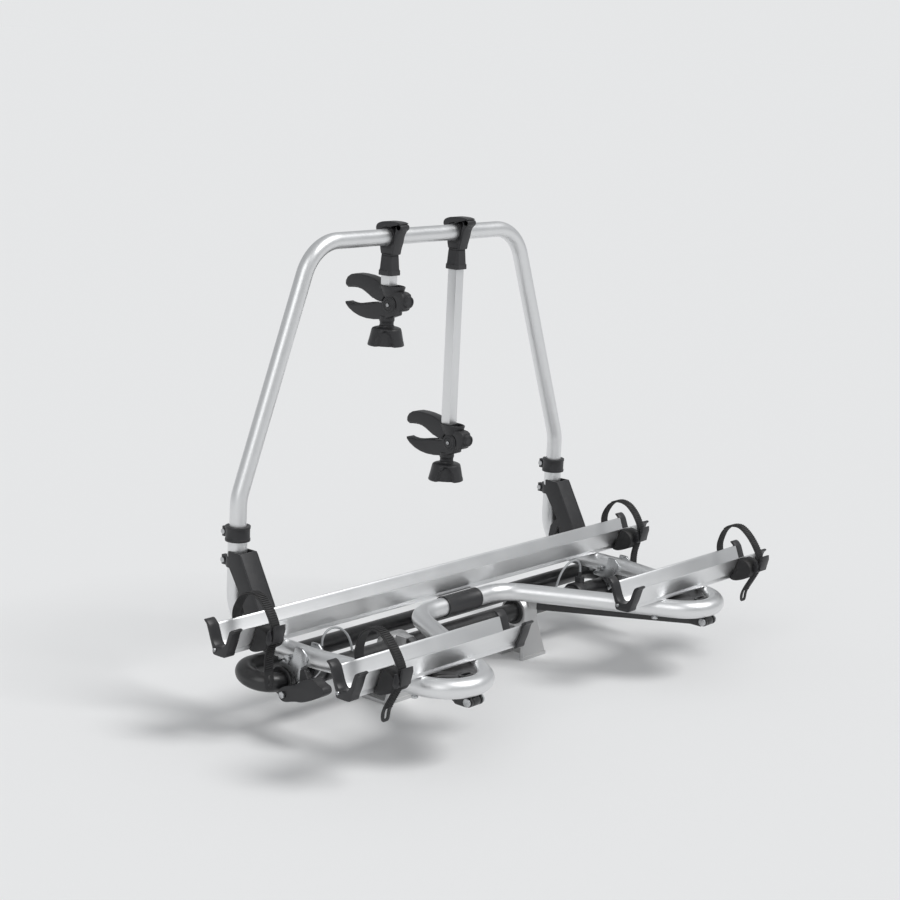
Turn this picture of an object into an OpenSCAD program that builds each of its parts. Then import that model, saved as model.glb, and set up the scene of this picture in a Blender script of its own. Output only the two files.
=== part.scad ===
// Two-bike rack for a caravan drawbar: tilting tube platform, upright hoop, wheel rails and two bike arms.
// X runs along the wheel rails, Y points to the hoop, Z up; the origin is the middle of the foot plane.

/* [Tubes] */
// Outside diameter of the lower frame tubes
frame_tube_d = 40; // [38:0.5:41]
// Outside diameter of the upright hoop tube
hoop_tube_d = 35; // [32:0.5:35.5]
// Outside diameter of the black base tube
base_tube_d = 40; // [38:0.5:41]
// Wall of all round tubes
tube_wall = 2; // [1.6:0.1:2]

/* [Platform frame] */
// Distance of each upright leg from the middle
leg_x = 516; // [500:1:530]
// Distance of the upright hoop behind the base tube
hoop_y = 165; // [160:1:175]
// Height of the flat frame loops over the foot plane
frame_z = 166; // [164:1:172]
// Top end of the frame tube in the collar
leg_top_z = 384; // [375:1:390]
// Bend radius between the upright leg and the outer leg
leg_bend_r = 90; // [80:1:95]
// Bend radius of the round front of each loop
loop_front_r = 80; // [76:1:84]
// Bend radius between inner leg and cross part
loop_inner_r = 90; // [80:1:100]
// Length of the dark sleeve in the middle
sleeve_l = 110; // [100:1:130]
// Outside diameter of the dark sleeve
sleeve_d = 46; // [44:0.5:50]

/* [Hoop] */
// Height of the top bar axis
hoop_top_z = 957; // [900:1:1000]
// Half width between the upper corners of the hoop
hoop_corner_x = 324; // [315:1:330]
// Bend radius of the hoop
hoop_bend_r = 100; // [90:1:110]
// Outside diameter of the clamp collars
collar_d = 50; // [48:0.5:54]
// Height of the clamp collars
collar_h = 31; // [28:1:34]

/* [Rails] */
// Half length of the rear wheel rail
rail_half = 660; // [640:1:680]
// Inner end of each short front rail
front_rail_x = 203; // [190:1:230]
// Distance between the two rail lines
rail_pitch = 337; // [325:1:345]
// Width of a rail over its lips
rail_w = 63; // [60:1:65]
// Depth of a rail from lip to floor
rail_h = 54; // [50:1:58]
// Length of each end cap
cap_l = 24; // [20:1:28]

/* [Straps] */
// Width of the wheel straps
strap_w = 25; // [22:0.5:28]
// Thickness of the wheel straps
strap_t = 3; // [2.5:0.1:3.5]
// Distance of the straps from the middle
strap_x = 605; // [590:1:615]

/* [Base] */
// Height of the base tube axis
base_z = 108; // [104:1:112]
// Outermost point of the bent base tube axis
base_end_x = 586; // [575:1:600]
// Distance between the two long parts of the base tube
base_span = 86; // [86:1:92]
// Slope from the front to the rear part of the base tube
base_tilt = 8; // [5:0.5:9]
// Bend radius of the base tube
base_bend_r = 42; // [40:0.5:42]
// Inner side of each cast foot
foot_x = 186; // [180:1:190]
// Width of the saddle of each cast foot
foot_w = 44; // [40:1:48]
// Depth of each cast foot
foot_depth = 68; // [64:1:70]
// Length of the foot flange
flange_l = 83; // [80:1:90]
// Distance of the mounting holes from the middle
hole_x = 250; // [245:1:255]
// Spacing of the mounting holes across the beam
hole_gap = 46; // [44:1:48]
// Diameter of the mounting holes
hole_d = 11; // [9:0.5:13]

/* [Hinge and latches] */
// Distance of the platform hinge in front of the base tube
hinge_y = 383; // [380:1:386]
// Height of the platform hinge
hinge_z = 135; // [134:0.5:135]
// Distance of the platform hinge from the middle
hinge_x = 399; // [396:1:402]
// Diameter of the hinge pins
hinge_pin_d = 10; // [8:0.5:10]
// Diameter of the latch pivot bolts
latch_pin_d = 8; // [6:0.5:9]

/* [Bike arms] */
// Place of the short arm on the top bar
short_arm_x = -93; // [-110:1:-80]
// Place of the long arm on the top bar
long_arm_x = 124; // [110:1:140]
// Pivot of the short claw below the top bar
short_drop = 144; // [144:1:200]
// Pivot of the long claw below the top bar
long_drop = 473; // [400:1:520]
// Side of the square arm bars
arm_bar = 25; // [24:0.5:26]
// Width of the claws
claw_w = 36; // [34:0.5:40]
// Width of the arm clamps along the top bar
clamp_w = 26; // [24:0.5:28]

/* [Hidden] */
$fn = 48;
// Overrun of every cut
over = 1;
// Radial running clearance of pins and liners
fit = 0.05;
// Radial clearance of bolts in their holes
bolt_gap = 0.4;
half = 1 / 2;
// Gap of fixed pieces that lie on round tubes
skin = 0.02;
frame_bore = frame_tube_d - 2 * tube_wall;
base_bore = base_tube_d - 2 * tube_wall;
frame_top = frame_z + frame_tube_d * half;
frame_bottom = frame_z - frame_tube_d * half;
bolt_d = 8;
head_d = 15;
head_h = 5;
nut_d = 14;
small_bolt_d = 6;
small_head_d = 11;
small_head_h = 4;

// Bolts on top of the frame tubes
top_bolt_out = [505, -140];
top_bolt_in = [228, -147];
top_bolts = [top_bolt_out, top_bolt_in];

// Seam between the upright bend and the flat loop of a frame tube
seam_y = -40;
cross_y = 4;
loop_corner_x = 144;
inner_leg = 452;
// Every bend is made of turns of the 3-4-5 triangle, so that the arcs and straights meet exactly
unit_turn = atan(3 / 4);
turn_4 = 5 * unit_turn - 180;
turn_21 = 3 * unit_turn - 90;
turn_41 = 6 * unit_turn - 180;
turn_69 = 180 - 3 * unit_turn;
turn_74 = 2 * unit_turn;
soft_bend_r = 200;
inner_turn = turn_41 + turn_21;
inner_cut = loop_inner_r * tan(inner_turn * half);
front_in_cut = loop_front_r * tan(turn_74 * half);
front_out_cut = loop_front_r * tan(turn_69 * half);
soft_cut = soft_bend_r * tan(turn_4);
nose_turn = turn_74 - inner_turn;
nose_l = front_in_cut + front_out_cut;
outer_x = loop_corner_x + inner_leg * cos(inner_turn) + nose_l * cos(nose_turn);
outer_leg = (leg_x - outer_x) / sin(2 * turn_4);
soft_y = cross_y - inner_leg * sin(inner_turn) + nose_l * sin(nose_turn) + outer_leg * cos(2 * turn_4);
loop_steps = [[loop_corner_x - inner_cut, -turn_41, loop_inner_r], [0, -turn_21, loop_inner_r],
    [inner_leg - inner_cut - front_in_cut, turn_74, loop_front_r], [0, turn_69, loop_front_r],
    [outer_leg - front_out_cut - soft_cut, turn_4, soft_bend_r], [0, turn_4, soft_bend_r],
    [seam_y - soft_y - soft_cut]];
leg_steps = [[hoop_y - seam_y - leg_bend_r, 90, leg_bend_r], [leg_top_z - frame_z - leg_bend_r]];
hoop_knee_z = hoop_top_z - (leg_x - hoop_corner_x) * tan(turn_69);
hoop_top_cut = hoop_bend_r * tan(turn_69 * half);
hoop_knee_cut = hoop_bend_r * tan(turn_21 * half);
hoop_sunk = 80;
hoop_low_z = leg_top_z - hoop_sunk;
hoop_steps = [[hoop_corner_x - hoop_top_cut, -turn_69, hoop_bend_r],
    [(leg_x - hoop_corner_x) / cos(turn_69) - hoop_top_cut - hoop_knee_cut, -turn_21, hoop_bend_r],
    [hoop_knee_z - hoop_knee_cut - hoop_low_z]];

// Base tube
base_leg_y = base_span * cos(base_tilt);
base_leg_z = base_z + base_span * sin(base_tilt);
base_steps = [[base_end_x - base_bend_r, 90, base_bend_r], [base_span - 2 * base_bend_r, 90, base_bend_r],
    [base_end_x - base_bend_r + over]];
spigot_gap = 0.1;
spigot_l = 40;
spigot_bite = 5;

// Cast feet
saddle_r = foot_depth * half;
bush_t = 3;
bush_d = base_tube_d + 2 * bush_t;
bush_lip = 3;
bush_lip_reach = 8;
bush_lip_d = base_tube_d + 2 * bush_lip_reach;
flange_t = 8;
flange_in = 3;
foot_pocket_w = 52;
foot_pocket_z = 50;
rib_t = 6;
rib_l = flange_l - foot_w - flange_in;
rib_top_share = 0.86;
lug_front = 50;
lug_back = 20;
lug_in = 205;
arm_low = 120;
arm_high = 144;
arm_wide = 20;
arm_turn_y = 345;

// Hinge
barrel_d = 20;
barrel_w = 20;
hinge_lug_t = 5;
hinge_lug_gap = 2;
hinge_lug_front = 362;
hinge_lug_rear = 348;
gusset_low = 176;
gusset_t = 4;
gusset_tip = 19;
gusset_front = 5;
gusset_rear = 148;
gusset_out = 101;
gusset_in = 134;
slot_d = 9;
slot_l = 16;
slot_y = -360;
slot_rim = 5;
slot_rim_h = 3;
hinge_head_d = 17;
hinge_head_gap = 0.5;

hinge_reach = barrel_w * half + hinge_lug_gap + hinge_lug_t + hinge_head_gap;

// End plates, star plates and latches
disc_r = 30;
disc_x = 532;
disc_t = 12;
ear_r = 13;
latch_y = -33;
latch_z = 94;
star_t = 5;
star_gap = 1.5;
star_bolt_y = -15;
star_bolt_z = 160;
star_size = 80;
star_shares = [[-0.4375, 1], [-0.675, 1], [-0.8, 0.8875], [-0.85, 0.725], [-0.7875, 0.6125],
    [-0.6375, 0.4875], [-0.775, 0.4], [-0.725, 0.2625], [-0.5, 0.025], [-0.475, 0.075], [-0.4625, 0.15],
    [-0.3125, 0.3], [0.0125, 0.375], [0.1, 0.45], [-0.0625, 0.5875], [-0.35, 0.6625]];
latch_in = 545;
latch_t = 24;
latch_size = 125;
latch_shares = [[0.088, -0.064], [0.104, 0.048], [-0.024, 0.144], [-0.224, 0.208], [-0.416, 0.336],
    [-0.64, 0.408], [-0.776, 0.352], [-0.872, 0.312], [-0.864, 0.208], [-0.656, 0.08], [-0.432, -0.016],
    [-0.264, -0.048], [-0.024, -0.112]];
catch_y = -66.5;
catch_z = 147;
catch_d = 7;
catch_x = leg_x + frame_tube_d * half - over;
catch_arm_d = 15;
catch_root_shares = [[-0.2, 0.192], [-0.408, 0.272]];
latch_head_gap = 0.5;
latch_out = latch_in + latch_t + latch_head_gap;

// Cable blocks and cables
stop_x = 404;
stop_w = 26;
stop_ring_d = 52;
stop_post_x = 422;
stop_post_w = 16;
cable_hole_gap = 0.5;
cable_depth = 4;
stop_post_top = 146;
cable_d = 5;
cable_sides = 8;
cable_steps = 4;
ferrule_d = 8;
ferrule_l = 12;
cable_route = [[430, 142], [430, 150], [430, 160], [428, 174], [417, 186], [400, 190], [378, 184], [358, 168],
    [346, 148], [341, 132], [340, 122]];

// Braces
brace_w = 46;
brace_size = 200;
brace_shares = [[-0.165, 0.87], [0.015, 0.87], [0.005, 0.715], [-0.19, 0.425], [-0.155, 0.4],
    [-0.1, 0.32], [-0.08, 0.2], [-0.095, 0.12], [-0.155, 0.13], [-0.215, 0.35], [-0.285, 0.16],
    [-0.325, 0.1], [-0.595, 0.1], [-0.455, 0.355]];
brace_inner_shares = [[-0.145, 0.875], [0.125, 0.875], [0.125, 0.07], [-0.575, 0.07], [-0.57, 0.105],
    [-0.435, 0.36]];
band_z = 306;
band_h = 20;
band_d = 46;
band_bolt_y = 192.5;
band_bolt_z = 316;
band_ear_t = 10;
ear_gap = 5;
ear_reach = 33;
collar_z = 360;
collar_bolt_y = 192.5;
collar_bolt_z = 376;
seat_gap = 0.2;
sleeve_step = 1;
star_seat = 0.2;

// Rail section, outside then inside, in shares of width and depth
rail_floor = frame_top;
rail_outer_shares = [[0, 0.926], [0.02, 0.87], [0.17, 0.36], [0.27, 0.16], [0.25, 0.07], [0.25, 0], [0.7, 0],
    [0.7, 0.07], [0.68, 0.16], [0.78, 0.36], [0.96, 0.93], [1, 1]];
rail_inner_shares = [[0.955, 1], [0.92, 0.93], [0.74, 0.39], [0.61, 0.2], [0.34, 0.2], [0.21, 0.39], [0.06, 0.88],
    [0.045, 0.926]];
cap_shares = [[-0.08, 1.02], [-0.12, 1.0], [-0.06, 0.9], [0.06, 0.44], [0.17, 0.13], [0.17, -0.03], [0.3, -0.07],
    [0.7, -0.07], [0.8, 0], [0.8, 0.16], [0.94, 0.5], [1.08, 1.0], [1.18, 1.12], [1.12, 1.15], [0.98, 1.06],
    [0.8, 0.52], [0.66, 0.28], [0.34, 0.28], [0.19, 0.5], [0.05, 0.9], [-0.02, 1.0]];
floor_top = rail_floor + rail_h * rail_inner_shares[3][1];
tongue_l = 20;
tongue_t = 3;
tongue_w = 14;
tongue_y = 23;
rivet_hole_d = 3.5;
rivet_z_share = 0.1;
rail_joint = 0.1;
rail_bolt_out_x = 485.5;
rail_bolt_in_x = 303;
bolt_row = 30;

// Straps, buckles and blocks, for the rear rail line
strap_size = 125;
rear_strap_shares = [[0.456, 0.168], [0.504, 0.32], [0.536, 0.48], [0.496, 0.64], [0.368, 0.816],
    [0.176, 0.896], [-0.016, 0.864], [-0.176, 0.736], [-0.288, 0.576], [-0.344, 0.432], [-0.32, 0.288],
    [-0.264, 0.112], [-0.224, -0.048], [-0.216, -0.224], [-0.232, -0.4], [-0.256, -0.592]];
front_strap_shares = [[0.456, 0.168], [0.504, 0.32], [0.544, 0.48], [0.528, 0.624], [0.448, 0.816],
    [0.304, 0.928], [0.112, 0.944], [-0.08, 0.816], [-0.24, 0.624], [-0.328, 0.448], [-0.32, 0.288],
    [-0.256, 0.128], [-0.176, -0.016], [-0.096, -0.16], [-0.048, -0.288], [-0.04, -0.432]];
strap_steps = 5;
tail_slot_l = 16;
tail_slot_w = 8;
base_w = 29;
block_size = 50;
block_shares = [[-0.02, 0.92], [-0.2, 1], [-0.48, 0.92], [-0.68, 0.72], [-0.72, 0.44], [-0.56, 0.2],
    [-0.16, 0.02], [0.12, -0.04], [0.32, 0.02], [0.2, 0.24]];
buckle_w = 33;
buckle_size = 25;
buckle_shares = [[0.6, -0.12], [0.44, 0.76], [0.12, 0.84], [-0.08, 0.36], [0.08, -0.2], [0.36, -0.36]];
lever_w = 27;
lever_pin_y = -49;
lever_pin_z = 217;
lever_pin = [lever_pin_y, lever_pin_z];
lever_room_shares = [[-0.225, -0.225], [0.125, -0.225], [0.125, 1], [-0.225, 1]];
lever_size = 40;
lever_shares = [[-0.075, -0.075], [-0.125, 0.175], [-0.225, 0.575], [-0.2, 0.825], [-0.1, 0.8],
    [-0.025, 0.525], [0.05, 0.175], [0.075, -0.05]];
lever_pin_d = 4;

// Arms
liner_t = 3;
liner_rim = 2;
liner_d = hoop_tube_d + 2 * liner_t;
liner_w = clamp_w + 2 * liner_rim;
clamp_r = 26;
wing_size = 100;
wing_shares = [[-0.36, 0.31], [-0.34, 0.325], [-0.14, 0.34], [0.12, 0.35], [0.34, 0.37], [0.49, 0.32],
    [0.52, 0.23], [0.44, 0.17], [0.32, 0.21], [0.25, 0.255], [0, 0.255], [-0.3, 0.25]];
clamp_strap_size = 50;
clamp_strap_shares = [[-0.84, 0.42], [-0.52, 0.42], [-0.4, 0], [-0.34, -0.56], [-0.66, -0.56],
    [-0.62, -0.12], [-0.72, 0.16]];
neck_w = 38;
neck_top = -16;
neck_low = -38;
socket_top = -37;
socket_low = -84;
socket_top_d = 56;
socket_low_d = 66;
bar_top = -50;
wing_pin_y = -34;
wing_pin_z = 23;
wing_pin_d = 5;
knuckle_d = 12;
knuckle_w = 14;
cheek_gap = 0.5;
knuckle_room_w = knuckle_w + 2 * cheek_gap;
wing_seat_y = -24;
wing_seat_z = 24.5;
claw_bar_low = 20;
claw_pivot_y = -14;
pivot_d = 10;
pivot_head_d = 20;
claw_size = 125;
upper_claw_shares = [[-0.4, 0.272], [-0.336, 0.408], [-0.224, 0.432], [0, 0.4], [0.128, 0.368],
    [0.304, 0.424], [0.496, 0.472], [0.704, 0.464], [0.864, 0.408], [0.968, 0.304], [1, 0.216],
    [0.944, 0.168], [0.776, 0.2], [0.608, 0.176], [0.448, 0.088], [0.304, 0.024], [0.128, 0.016],
    [0.032, -0.032], [-0.112, -0.112], [-0.224, -0.048], [-0.368, 0.064]];
lower_claw_shares = [[1.016, -0.048], [0.864, -0.088], [0.704, -0.128], [0.512, -0.104], [0.352, -0.056],
    [0.192, -0.016], [0.048, 0.04], [-0.048, 0.12], [-0.16, 0.12], [-0.264, 0.04], [-0.352, -0.032],
    [-0.384, -0.08], [-0.224, -0.208], [-0.032, -0.264], [0.16, -0.304], [0.376, -0.328], [0.56, -0.328],
    [0.712, -0.304], [0.864, -0.248], [0.976, -0.144]];
claw_steps = 4;
cheek_room_shares = [[-0.48, -0.24], [0.4, -0.24], [0.26, 0.035], [0.1, 0.064], [-0.24, 0.064], [-0.48, 0.12]];
tongue_room_shares = [[-0.48, -0.176], [0.128, -0.176], [0.32, 0.08], [0.32, 0.24], [-0.48, 0.24]];
tongue_half = 9;
claw_boss_y = -52;
claw_boss_z = 22;
claw_boss_d = 32;
claw_knuckle_d = 54;
knob_y = 2;
knob_top = -48;
knob_h = 46;
knob_stem_top = -36;
knob_neck_d = 30;
knob_neck_h = 9;
knob_core_top = 48;
knob_core_low = 62;
lobe_r = 23;
lobe_top = 24;
lobe_low = 36;
stud_d = 10;

alu = [0.78, 0.79, 0.8];
dark = [0.08, 0.08, 0.09];
coal = [0.13, 0.13, 0.14];
steel = [0.55, 0.56, 0.58];

function placed(s, size, at) = [for (q = s) at + size * q];
function spread(s, w, h) = [for (q = s) [q[0] * w, q[1] * h]];
function eased(a, b, c, d, t) = (2 * b + (c - a) * t + (2 * a - 5 * b + 4 * c - d) * t * t
    + (3 * b - a - 3 * c + d) * t * t * t) / 2;
function ring_at(p, i) = p[(i + len(p)) % len(p)];
function rounded(p, n) = [for (i = [0 : len(p) - 1], k = [0 : n - 1])
    eased(ring_at(p, i - 1), p[i], ring_at(p, i + 1), ring_at(p, i + 2), k / n)];
function past(p, i) = i < 0 ? 2 * p[0] - p[1] : i > len(p) - 1 ? 2 * p[len(p) - 1] - p[len(p) - 2] : p[i];
function curve(p, n) = concat([for (i = [0 : len(p) - 2], k = [0 : n - 1])
    eased(past(p, i - 1), p[i], p[i + 1], past(p, i + 2), k / n)], [p[len(p) - 1]]);
function way(c, i) = let (v = c[min(i + 1, len(c) - 1)] - c[max(i - 1, 0)]) v / norm(v);
function beside(c, i, w) = c[i] + w * [-way(c, i)[1], way(c, i)[0]];

// True arc of a round bar, from the origin along X, turned left or right
module elbow(r, t, d) {
    reach = r + d;
    translate([0, sign(t) * r, 0])
        intersection() {
            rotate_extrude()
                translate([r, 0])
                    circle(d = d);
            translate([0, -reach, -reach])
                cube(2 * reach);
            rotate([0, 0, t])
                translate([-2 * reach, -reach, -reach])
                    cube(2 * reach);
        }
}

// Round bar laid piece after piece in steps of [straight, turn, radius], with its children at its far end
module bent_bar(steps, d, i = 0) {
    length = steps[i][0];
    if (length > 0)
        rotate([0, 90, 0])
            cylinder(d = d, h = length);
    translate([length, 0, 0])
        if (i < len(steps) - 1) {
            t = steps[i][1];
            r = steps[i][2];
            elbow(r, t, d);
            translate([0, sign(t) * r, 0])
                rotate([0, 0, t])
                    translate([0, -sign(t) * r, 0])
                        bent_bar(steps, d, i + 1) children();
        }
        else
            children();
}

module along_x(from, length) {
    translate([from, 0, 0])
        rotate([90, 0, 90])
            linear_extrude(height = length)
                children();
}

module rod_x(from, length, d, y, z) {
    translate([from, y, z])
        rotate([0, 90, 0])
            cylinder(d = d, h = length);
}

module both() {
    children();
    mirror([1, 0, 0]) children();
}

module hex_bolt(d, grip, wide, high) {
    cylinder(d = wide, h = high, $fn = 6);
    translate([0, 0, -grip])
        cylinder(d = d, h = grip + high * half);
}

// Lower frame, from the middle out to the top of the leg
module frame_half(d, spare = 0) {
    translate([0, cross_y, frame_z]) {
        rotate([0, -90, 0])
            cylinder(d = d, h = spare);
        bent_bar(loop_steps, d)
            rotate([90, 0, 0])
                bent_bar(leg_steps, d)
                    rotate([0, 90, 0])
                        cylinder(d = d, h = spare);
    }
}

module frame_inside() {
    frame_half(frame_bore, over);
}

module rail_bolt_holes(d) {
    translate([leg_x, bolt_row, frame_bottom - head_d])
        cylinder(d = d, h = frame_tube_d + rail_h);
    for (x = [rail_bolt_out_x, rail_bolt_in_x])
        translate([x, bolt_row - rail_pitch, frame_bottom - head_d])
            cylinder(d = d, h = frame_tube_d + rail_h);
}

module frame_tube() {
    difference() {
        frame_half(frame_tube_d);
        frame_inside();
        rail_bolt_holes(bolt_d + 2 * bolt_gap);
        rod_x(leg_x - frame_tube_d, 2 * frame_tube_d, bolt_d + 2 * bolt_gap, star_bolt_y, star_bolt_z);
        for (p = top_bolts)
            translate([p[0], p[1], frame_bottom - over])
                cylinder(d = small_head_d + 2 * bolt_gap, h = frame_tube_d + 2 * over);
    }
}

module frame_tube_right() {
    color(alu) frame_tube();
}

module frame_tube_left() {
    color(alu) mirror([1, 0, 0]) frame_tube();
}

module center_sleeve() {
    color(dark)
        difference() {
            union() {
                rod_x(-sleeve_l * half + over, sleeve_l - 2 * over, sleeve_d - sleeve_step, cross_y, frame_z);
                for (s = [-1, 1])
                    rod_x(s * (sleeve_l * half - tube_wall) - tube_wall, 2 * tube_wall, sleeve_d, cross_y, frame_z);
            }
            rod_x(-sleeve_l, 2 * sleeve_l, frame_tube_d, cross_y, frame_z);
        }
}

module hoop_half(d, spare) {
    translate([0, hoop_y, hoop_top_z])
        rotate([90, 0, 0]) {
            rotate([0, -90, 0])
                cylinder(d = d, h = spare);
            bent_bar(hoop_steps, d)
                rotate([0, 90, 0])
                    cylinder(d = d, h = spare);
        }
}

module hoop() {
    color(alu)
        difference() {
            both() hoop_half(hoop_tube_d, 0);
            both() hoop_half(hoop_tube_d - 2 * tube_wall, over);
        }
}

module clamp_ears(z, h, y) {
    translate([leg_x - band_ear_t - ear_gap * half, hoop_y, z])
        cube([2 * band_ear_t + ear_gap, y, h]);
}

module collar() {
    difference() {
        union() {
            translate([leg_x, hoop_y, collar_z])
                cylinder(d = collar_d, h = collar_h);
            for (z = [collar_z, collar_z + collar_h - head_h])
                translate([leg_x, hoop_y, z])
                    cylinder(d = collar_d + tube_wall, h = head_h);
            clamp_ears(collar_z + head_h, collar_h - 2 * head_h, ear_reach);
        }
        translate([leg_x, hoop_y, collar_z - over])
            cylinder(d = frame_tube_d + 2 * skin, h = leg_top_z - collar_z + over + seat_gap);
        translate([leg_x, hoop_y, collar_z])
            cylinder(d = hoop_tube_d + 2 * skin, h = collar_h + over);
        translate([leg_x - ear_gap * half, hoop_y, collar_z - over])
            cube([ear_gap, 2 * ear_reach, collar_h + 2 * over]);
        rod_x(leg_x - frame_tube_d, 2 * frame_tube_d, small_bolt_d + 2 * bolt_gap, collar_bolt_y, collar_bolt_z);
    }
}

module collar_right() {
    color(dark) collar();
}

module collar_left() {
    color(dark) mirror([1, 0, 0]) collar();
}

module brace() {
    difference() {
        union() {
            difference() {
                along_x(leg_x - brace_w * half, brace_w)
                    polygon(placed(brace_shares, brace_size, [hoop_y, frame_z]));
                along_x(leg_x - frame_tube_d * half, frame_tube_d)
                    polygon(placed(brace_inner_shares, brace_size, [hoop_y, frame_z]));
            }
            translate([leg_x, hoop_y, band_z])
                cylinder(d = band_d, h = band_h);
            clamp_ears(band_z, band_h, ear_reach);
        }
        frame_half(frame_tube_d + 2 * skin);
        translate([leg_x - ear_gap * half, hoop_y, band_z - over])
            cube([ear_gap, 2 * ear_reach, band_h + 2 * over]);
        rod_x(leg_x - frame_tube_d, 2 * frame_tube_d, small_bolt_d + 2 * bolt_gap, band_bolt_y, band_bolt_z);
    }
}

module brace_right() {
    color(coal) brace();
}

module brace_left() {
    color(coal) mirror([1, 0, 0]) brace();
}

module side_bolt(y, z, wide) {
    rod_x(leg_x - wide * half - small_head_h, wide + 2 * small_head_h, small_bolt_d, y, z);
    rod_x(leg_x + wide * half, small_head_h, small_head_d, y, z);
    rod_x(leg_x - wide * half - small_head_h, small_head_h, small_head_d, y, z);
}

module frame_bolt_set() {
    side_bolt(band_bolt_y, band_bolt_z, 2 * band_ear_t + ear_gap);
    side_bolt(collar_bolt_y, collar_bolt_z, 2 * band_ear_t + ear_gap);
    star_grip = frame_tube_d * half + star_t + star_seat;
    rod_x(leg_x - star_grip - head_h, 2 * star_grip + 2 * head_h, bolt_d, star_bolt_y, star_bolt_z);
    for (x = [leg_x + star_grip, leg_x - star_grip - head_h])
        translate([x, star_bolt_y, star_bolt_z])
            rotate([0, 90, 0])
                cylinder(d = head_d, h = head_h, $fn = 6);
    for (p = top_bolts)
        translate([p[0], p[1], frame_bottom])
            difference() {
                cylinder(d = small_head_d + 2 * bolt_gap - 2 * skin, h = frame_tube_d - tube_wall);
                translate([0, 0, frame_tube_d - 2 * tube_wall])
                    cylinder(d = small_bolt_d, h = frame_tube_d, $fn = 6);
            }
}

module frame_bolts() {
    color(steel) both() frame_bolt_set();
}

// Star plates and gussets
module star(x) {
    difference() {
        along_x(x, star_t) polygon(placed(star_shares, star_size, [0, base_z]));
        rod_x(x - over, star_t + 2 * over, 2 * (disc_r + star_gap), 0, base_z);
        rod_x(x - over, star_t + 2 * over, bolt_d, star_bolt_y, star_bolt_z);
    }
}

module striker_pair() {
    star(leg_x + frame_tube_d * half + star_seat);
    star(leg_x - frame_tube_d * half - star_t - star_seat);
}

module striker_right() {
    color(steel) striker_pair();
}

module striker_left() {
    color(steel) mirror([1, 0, 0]) striker_pair();
}

module hinge_lug(x) {
    difference() {
        union() {
            translate([x, -hinge_lug_front, hinge_z - barrel_d * half])
                cube([hinge_lug_t, hinge_lug_front - hinge_lug_rear, gusset_low - hinge_z + barrel_d * half]);
            translate([x, -hinge_y, hinge_z - barrel_d * half])
                cube([hinge_lug_t, hinge_y - hinge_lug_rear, barrel_d]);
            rod_x(x, hinge_lug_t, barrel_d, -hinge_y, hinge_z);
        }
        rod_x(x - over, hinge_lug_t + 2 * over, hinge_pin_d + 2 * fit, -hinge_y, hinge_z);
    }
}

module gusset() {
    difference() {
        union() {
            translate([0, 0, gusset_low])
                linear_extrude(height = gusset_t)
                    polygon([[hinge_x - gusset_tip, gusset_front - hinge_y],
                        [hinge_x + gusset_tip, gusset_front - hinge_y],
                        [hinge_x + gusset_out, gusset_rear - hinge_y],
                        [hinge_x - gusset_in, gusset_rear - hinge_y]]);
            for (x = [-1, 1])
                translate([hinge_x + x * slot_l * half, slot_y, gusset_low])
                    cylinder(d = slot_d + 2 * slot_rim, h = gusset_t + slot_rim_h);
            translate([hinge_x - slot_l * half, slot_y - slot_d * half - slot_rim, gusset_low])
                cube([slot_l, slot_d + 2 * slot_rim, gusset_t + slot_rim_h]);
        }
        frame_half(frame_tube_d + 2 * skin);
        for (x = [-1, 1])
            translate([hinge_x + x * slot_l * half, slot_y, gusset_low - over])
                cylinder(d = slot_d, h = gusset_t + slot_rim_h + 2 * over);
        translate([hinge_x - slot_l * half, slot_y - slot_d * half, gusset_low - over])
            cube([slot_l, slot_d, gusset_t + slot_rim_h + 2 * over]);
    }
    difference() {
        union() {
            hinge_lug(hinge_x + barrel_w * half + hinge_lug_gap);
            hinge_lug(hinge_x - barrel_w * half - hinge_lug_gap - hinge_lug_t);
        }
        frame_half(frame_tube_d + 2 * skin);
    }
}

module gusset_right() {
    color(dark) gusset();
}

module gusset_left() {
    color(dark) mirror([1, 0, 0]) gusset();
}

// Wheel rails
module rail_section() {
    translate([0, rail_floor])
        polygon(concat(spread(rail_outer_shares, rail_w, rail_h), spread(rail_inner_shares, rail_w, rail_h)));
}

// Two lengths that butt in the middle
module rear_rail() {
    color(alu)
        both()
            difference() {
                along_x(rail_joint * half, rail_half - rail_joint * half) rail_section();
                rail_bolt_holes(bolt_d + 2 * bolt_gap);
            }
}

module front_rail() {
    difference() {
        translate([0, -rail_pitch, 0])
            along_x(front_rail_x, rail_half - front_rail_x) rail_section();
        rail_bolt_holes(bolt_d + 2 * bolt_gap);
    }
}

module front_rail_right() {
    color(alu) front_rail();
}

module front_rail_left() {
    color(alu) mirror([1, 0, 0]) front_rail();
}

module rail_cap() {
    difference() {
        union() {
            along_x(0, cap_l)
                translate([0, rail_floor])
                    polygon(spread(cap_shares, rail_w, rail_h));
            translate([-tongue_l, tongue_y, floor_top])
                cube([tongue_l + over, tongue_w, tongue_t]);
        }
        translate([cap_l * half, -over, rail_floor + rail_h * rivet_z_share])
            rotate([-90, 0, 0])
                cylinder(d = rivet_hole_d, h = rail_w * half);
    }
}

module cap_set() {
    translate([rail_half, 0, 0]) rail_cap();
    translate([rail_half, -rail_pitch, 0]) rail_cap();
    translate([front_rail_x, -rail_pitch, 0]) mirror([1, 0, 0]) rail_cap();
}

module rail_caps() {
    color(dark) both() cap_set();
}

module rail_bolt() {
    translate([0, 0, floor_top])
        cylinder(d = head_d, h = tongue_t);
    translate([0, 0, frame_bottom - head_h])
        cylinder(d = bolt_d, h = floor_top - frame_bottom + head_h + tongue_t * half);
    translate([0, 0, frame_bottom - head_h])
        cylinder(d = nut_d, h = head_h, $fn = 6);
}

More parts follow.
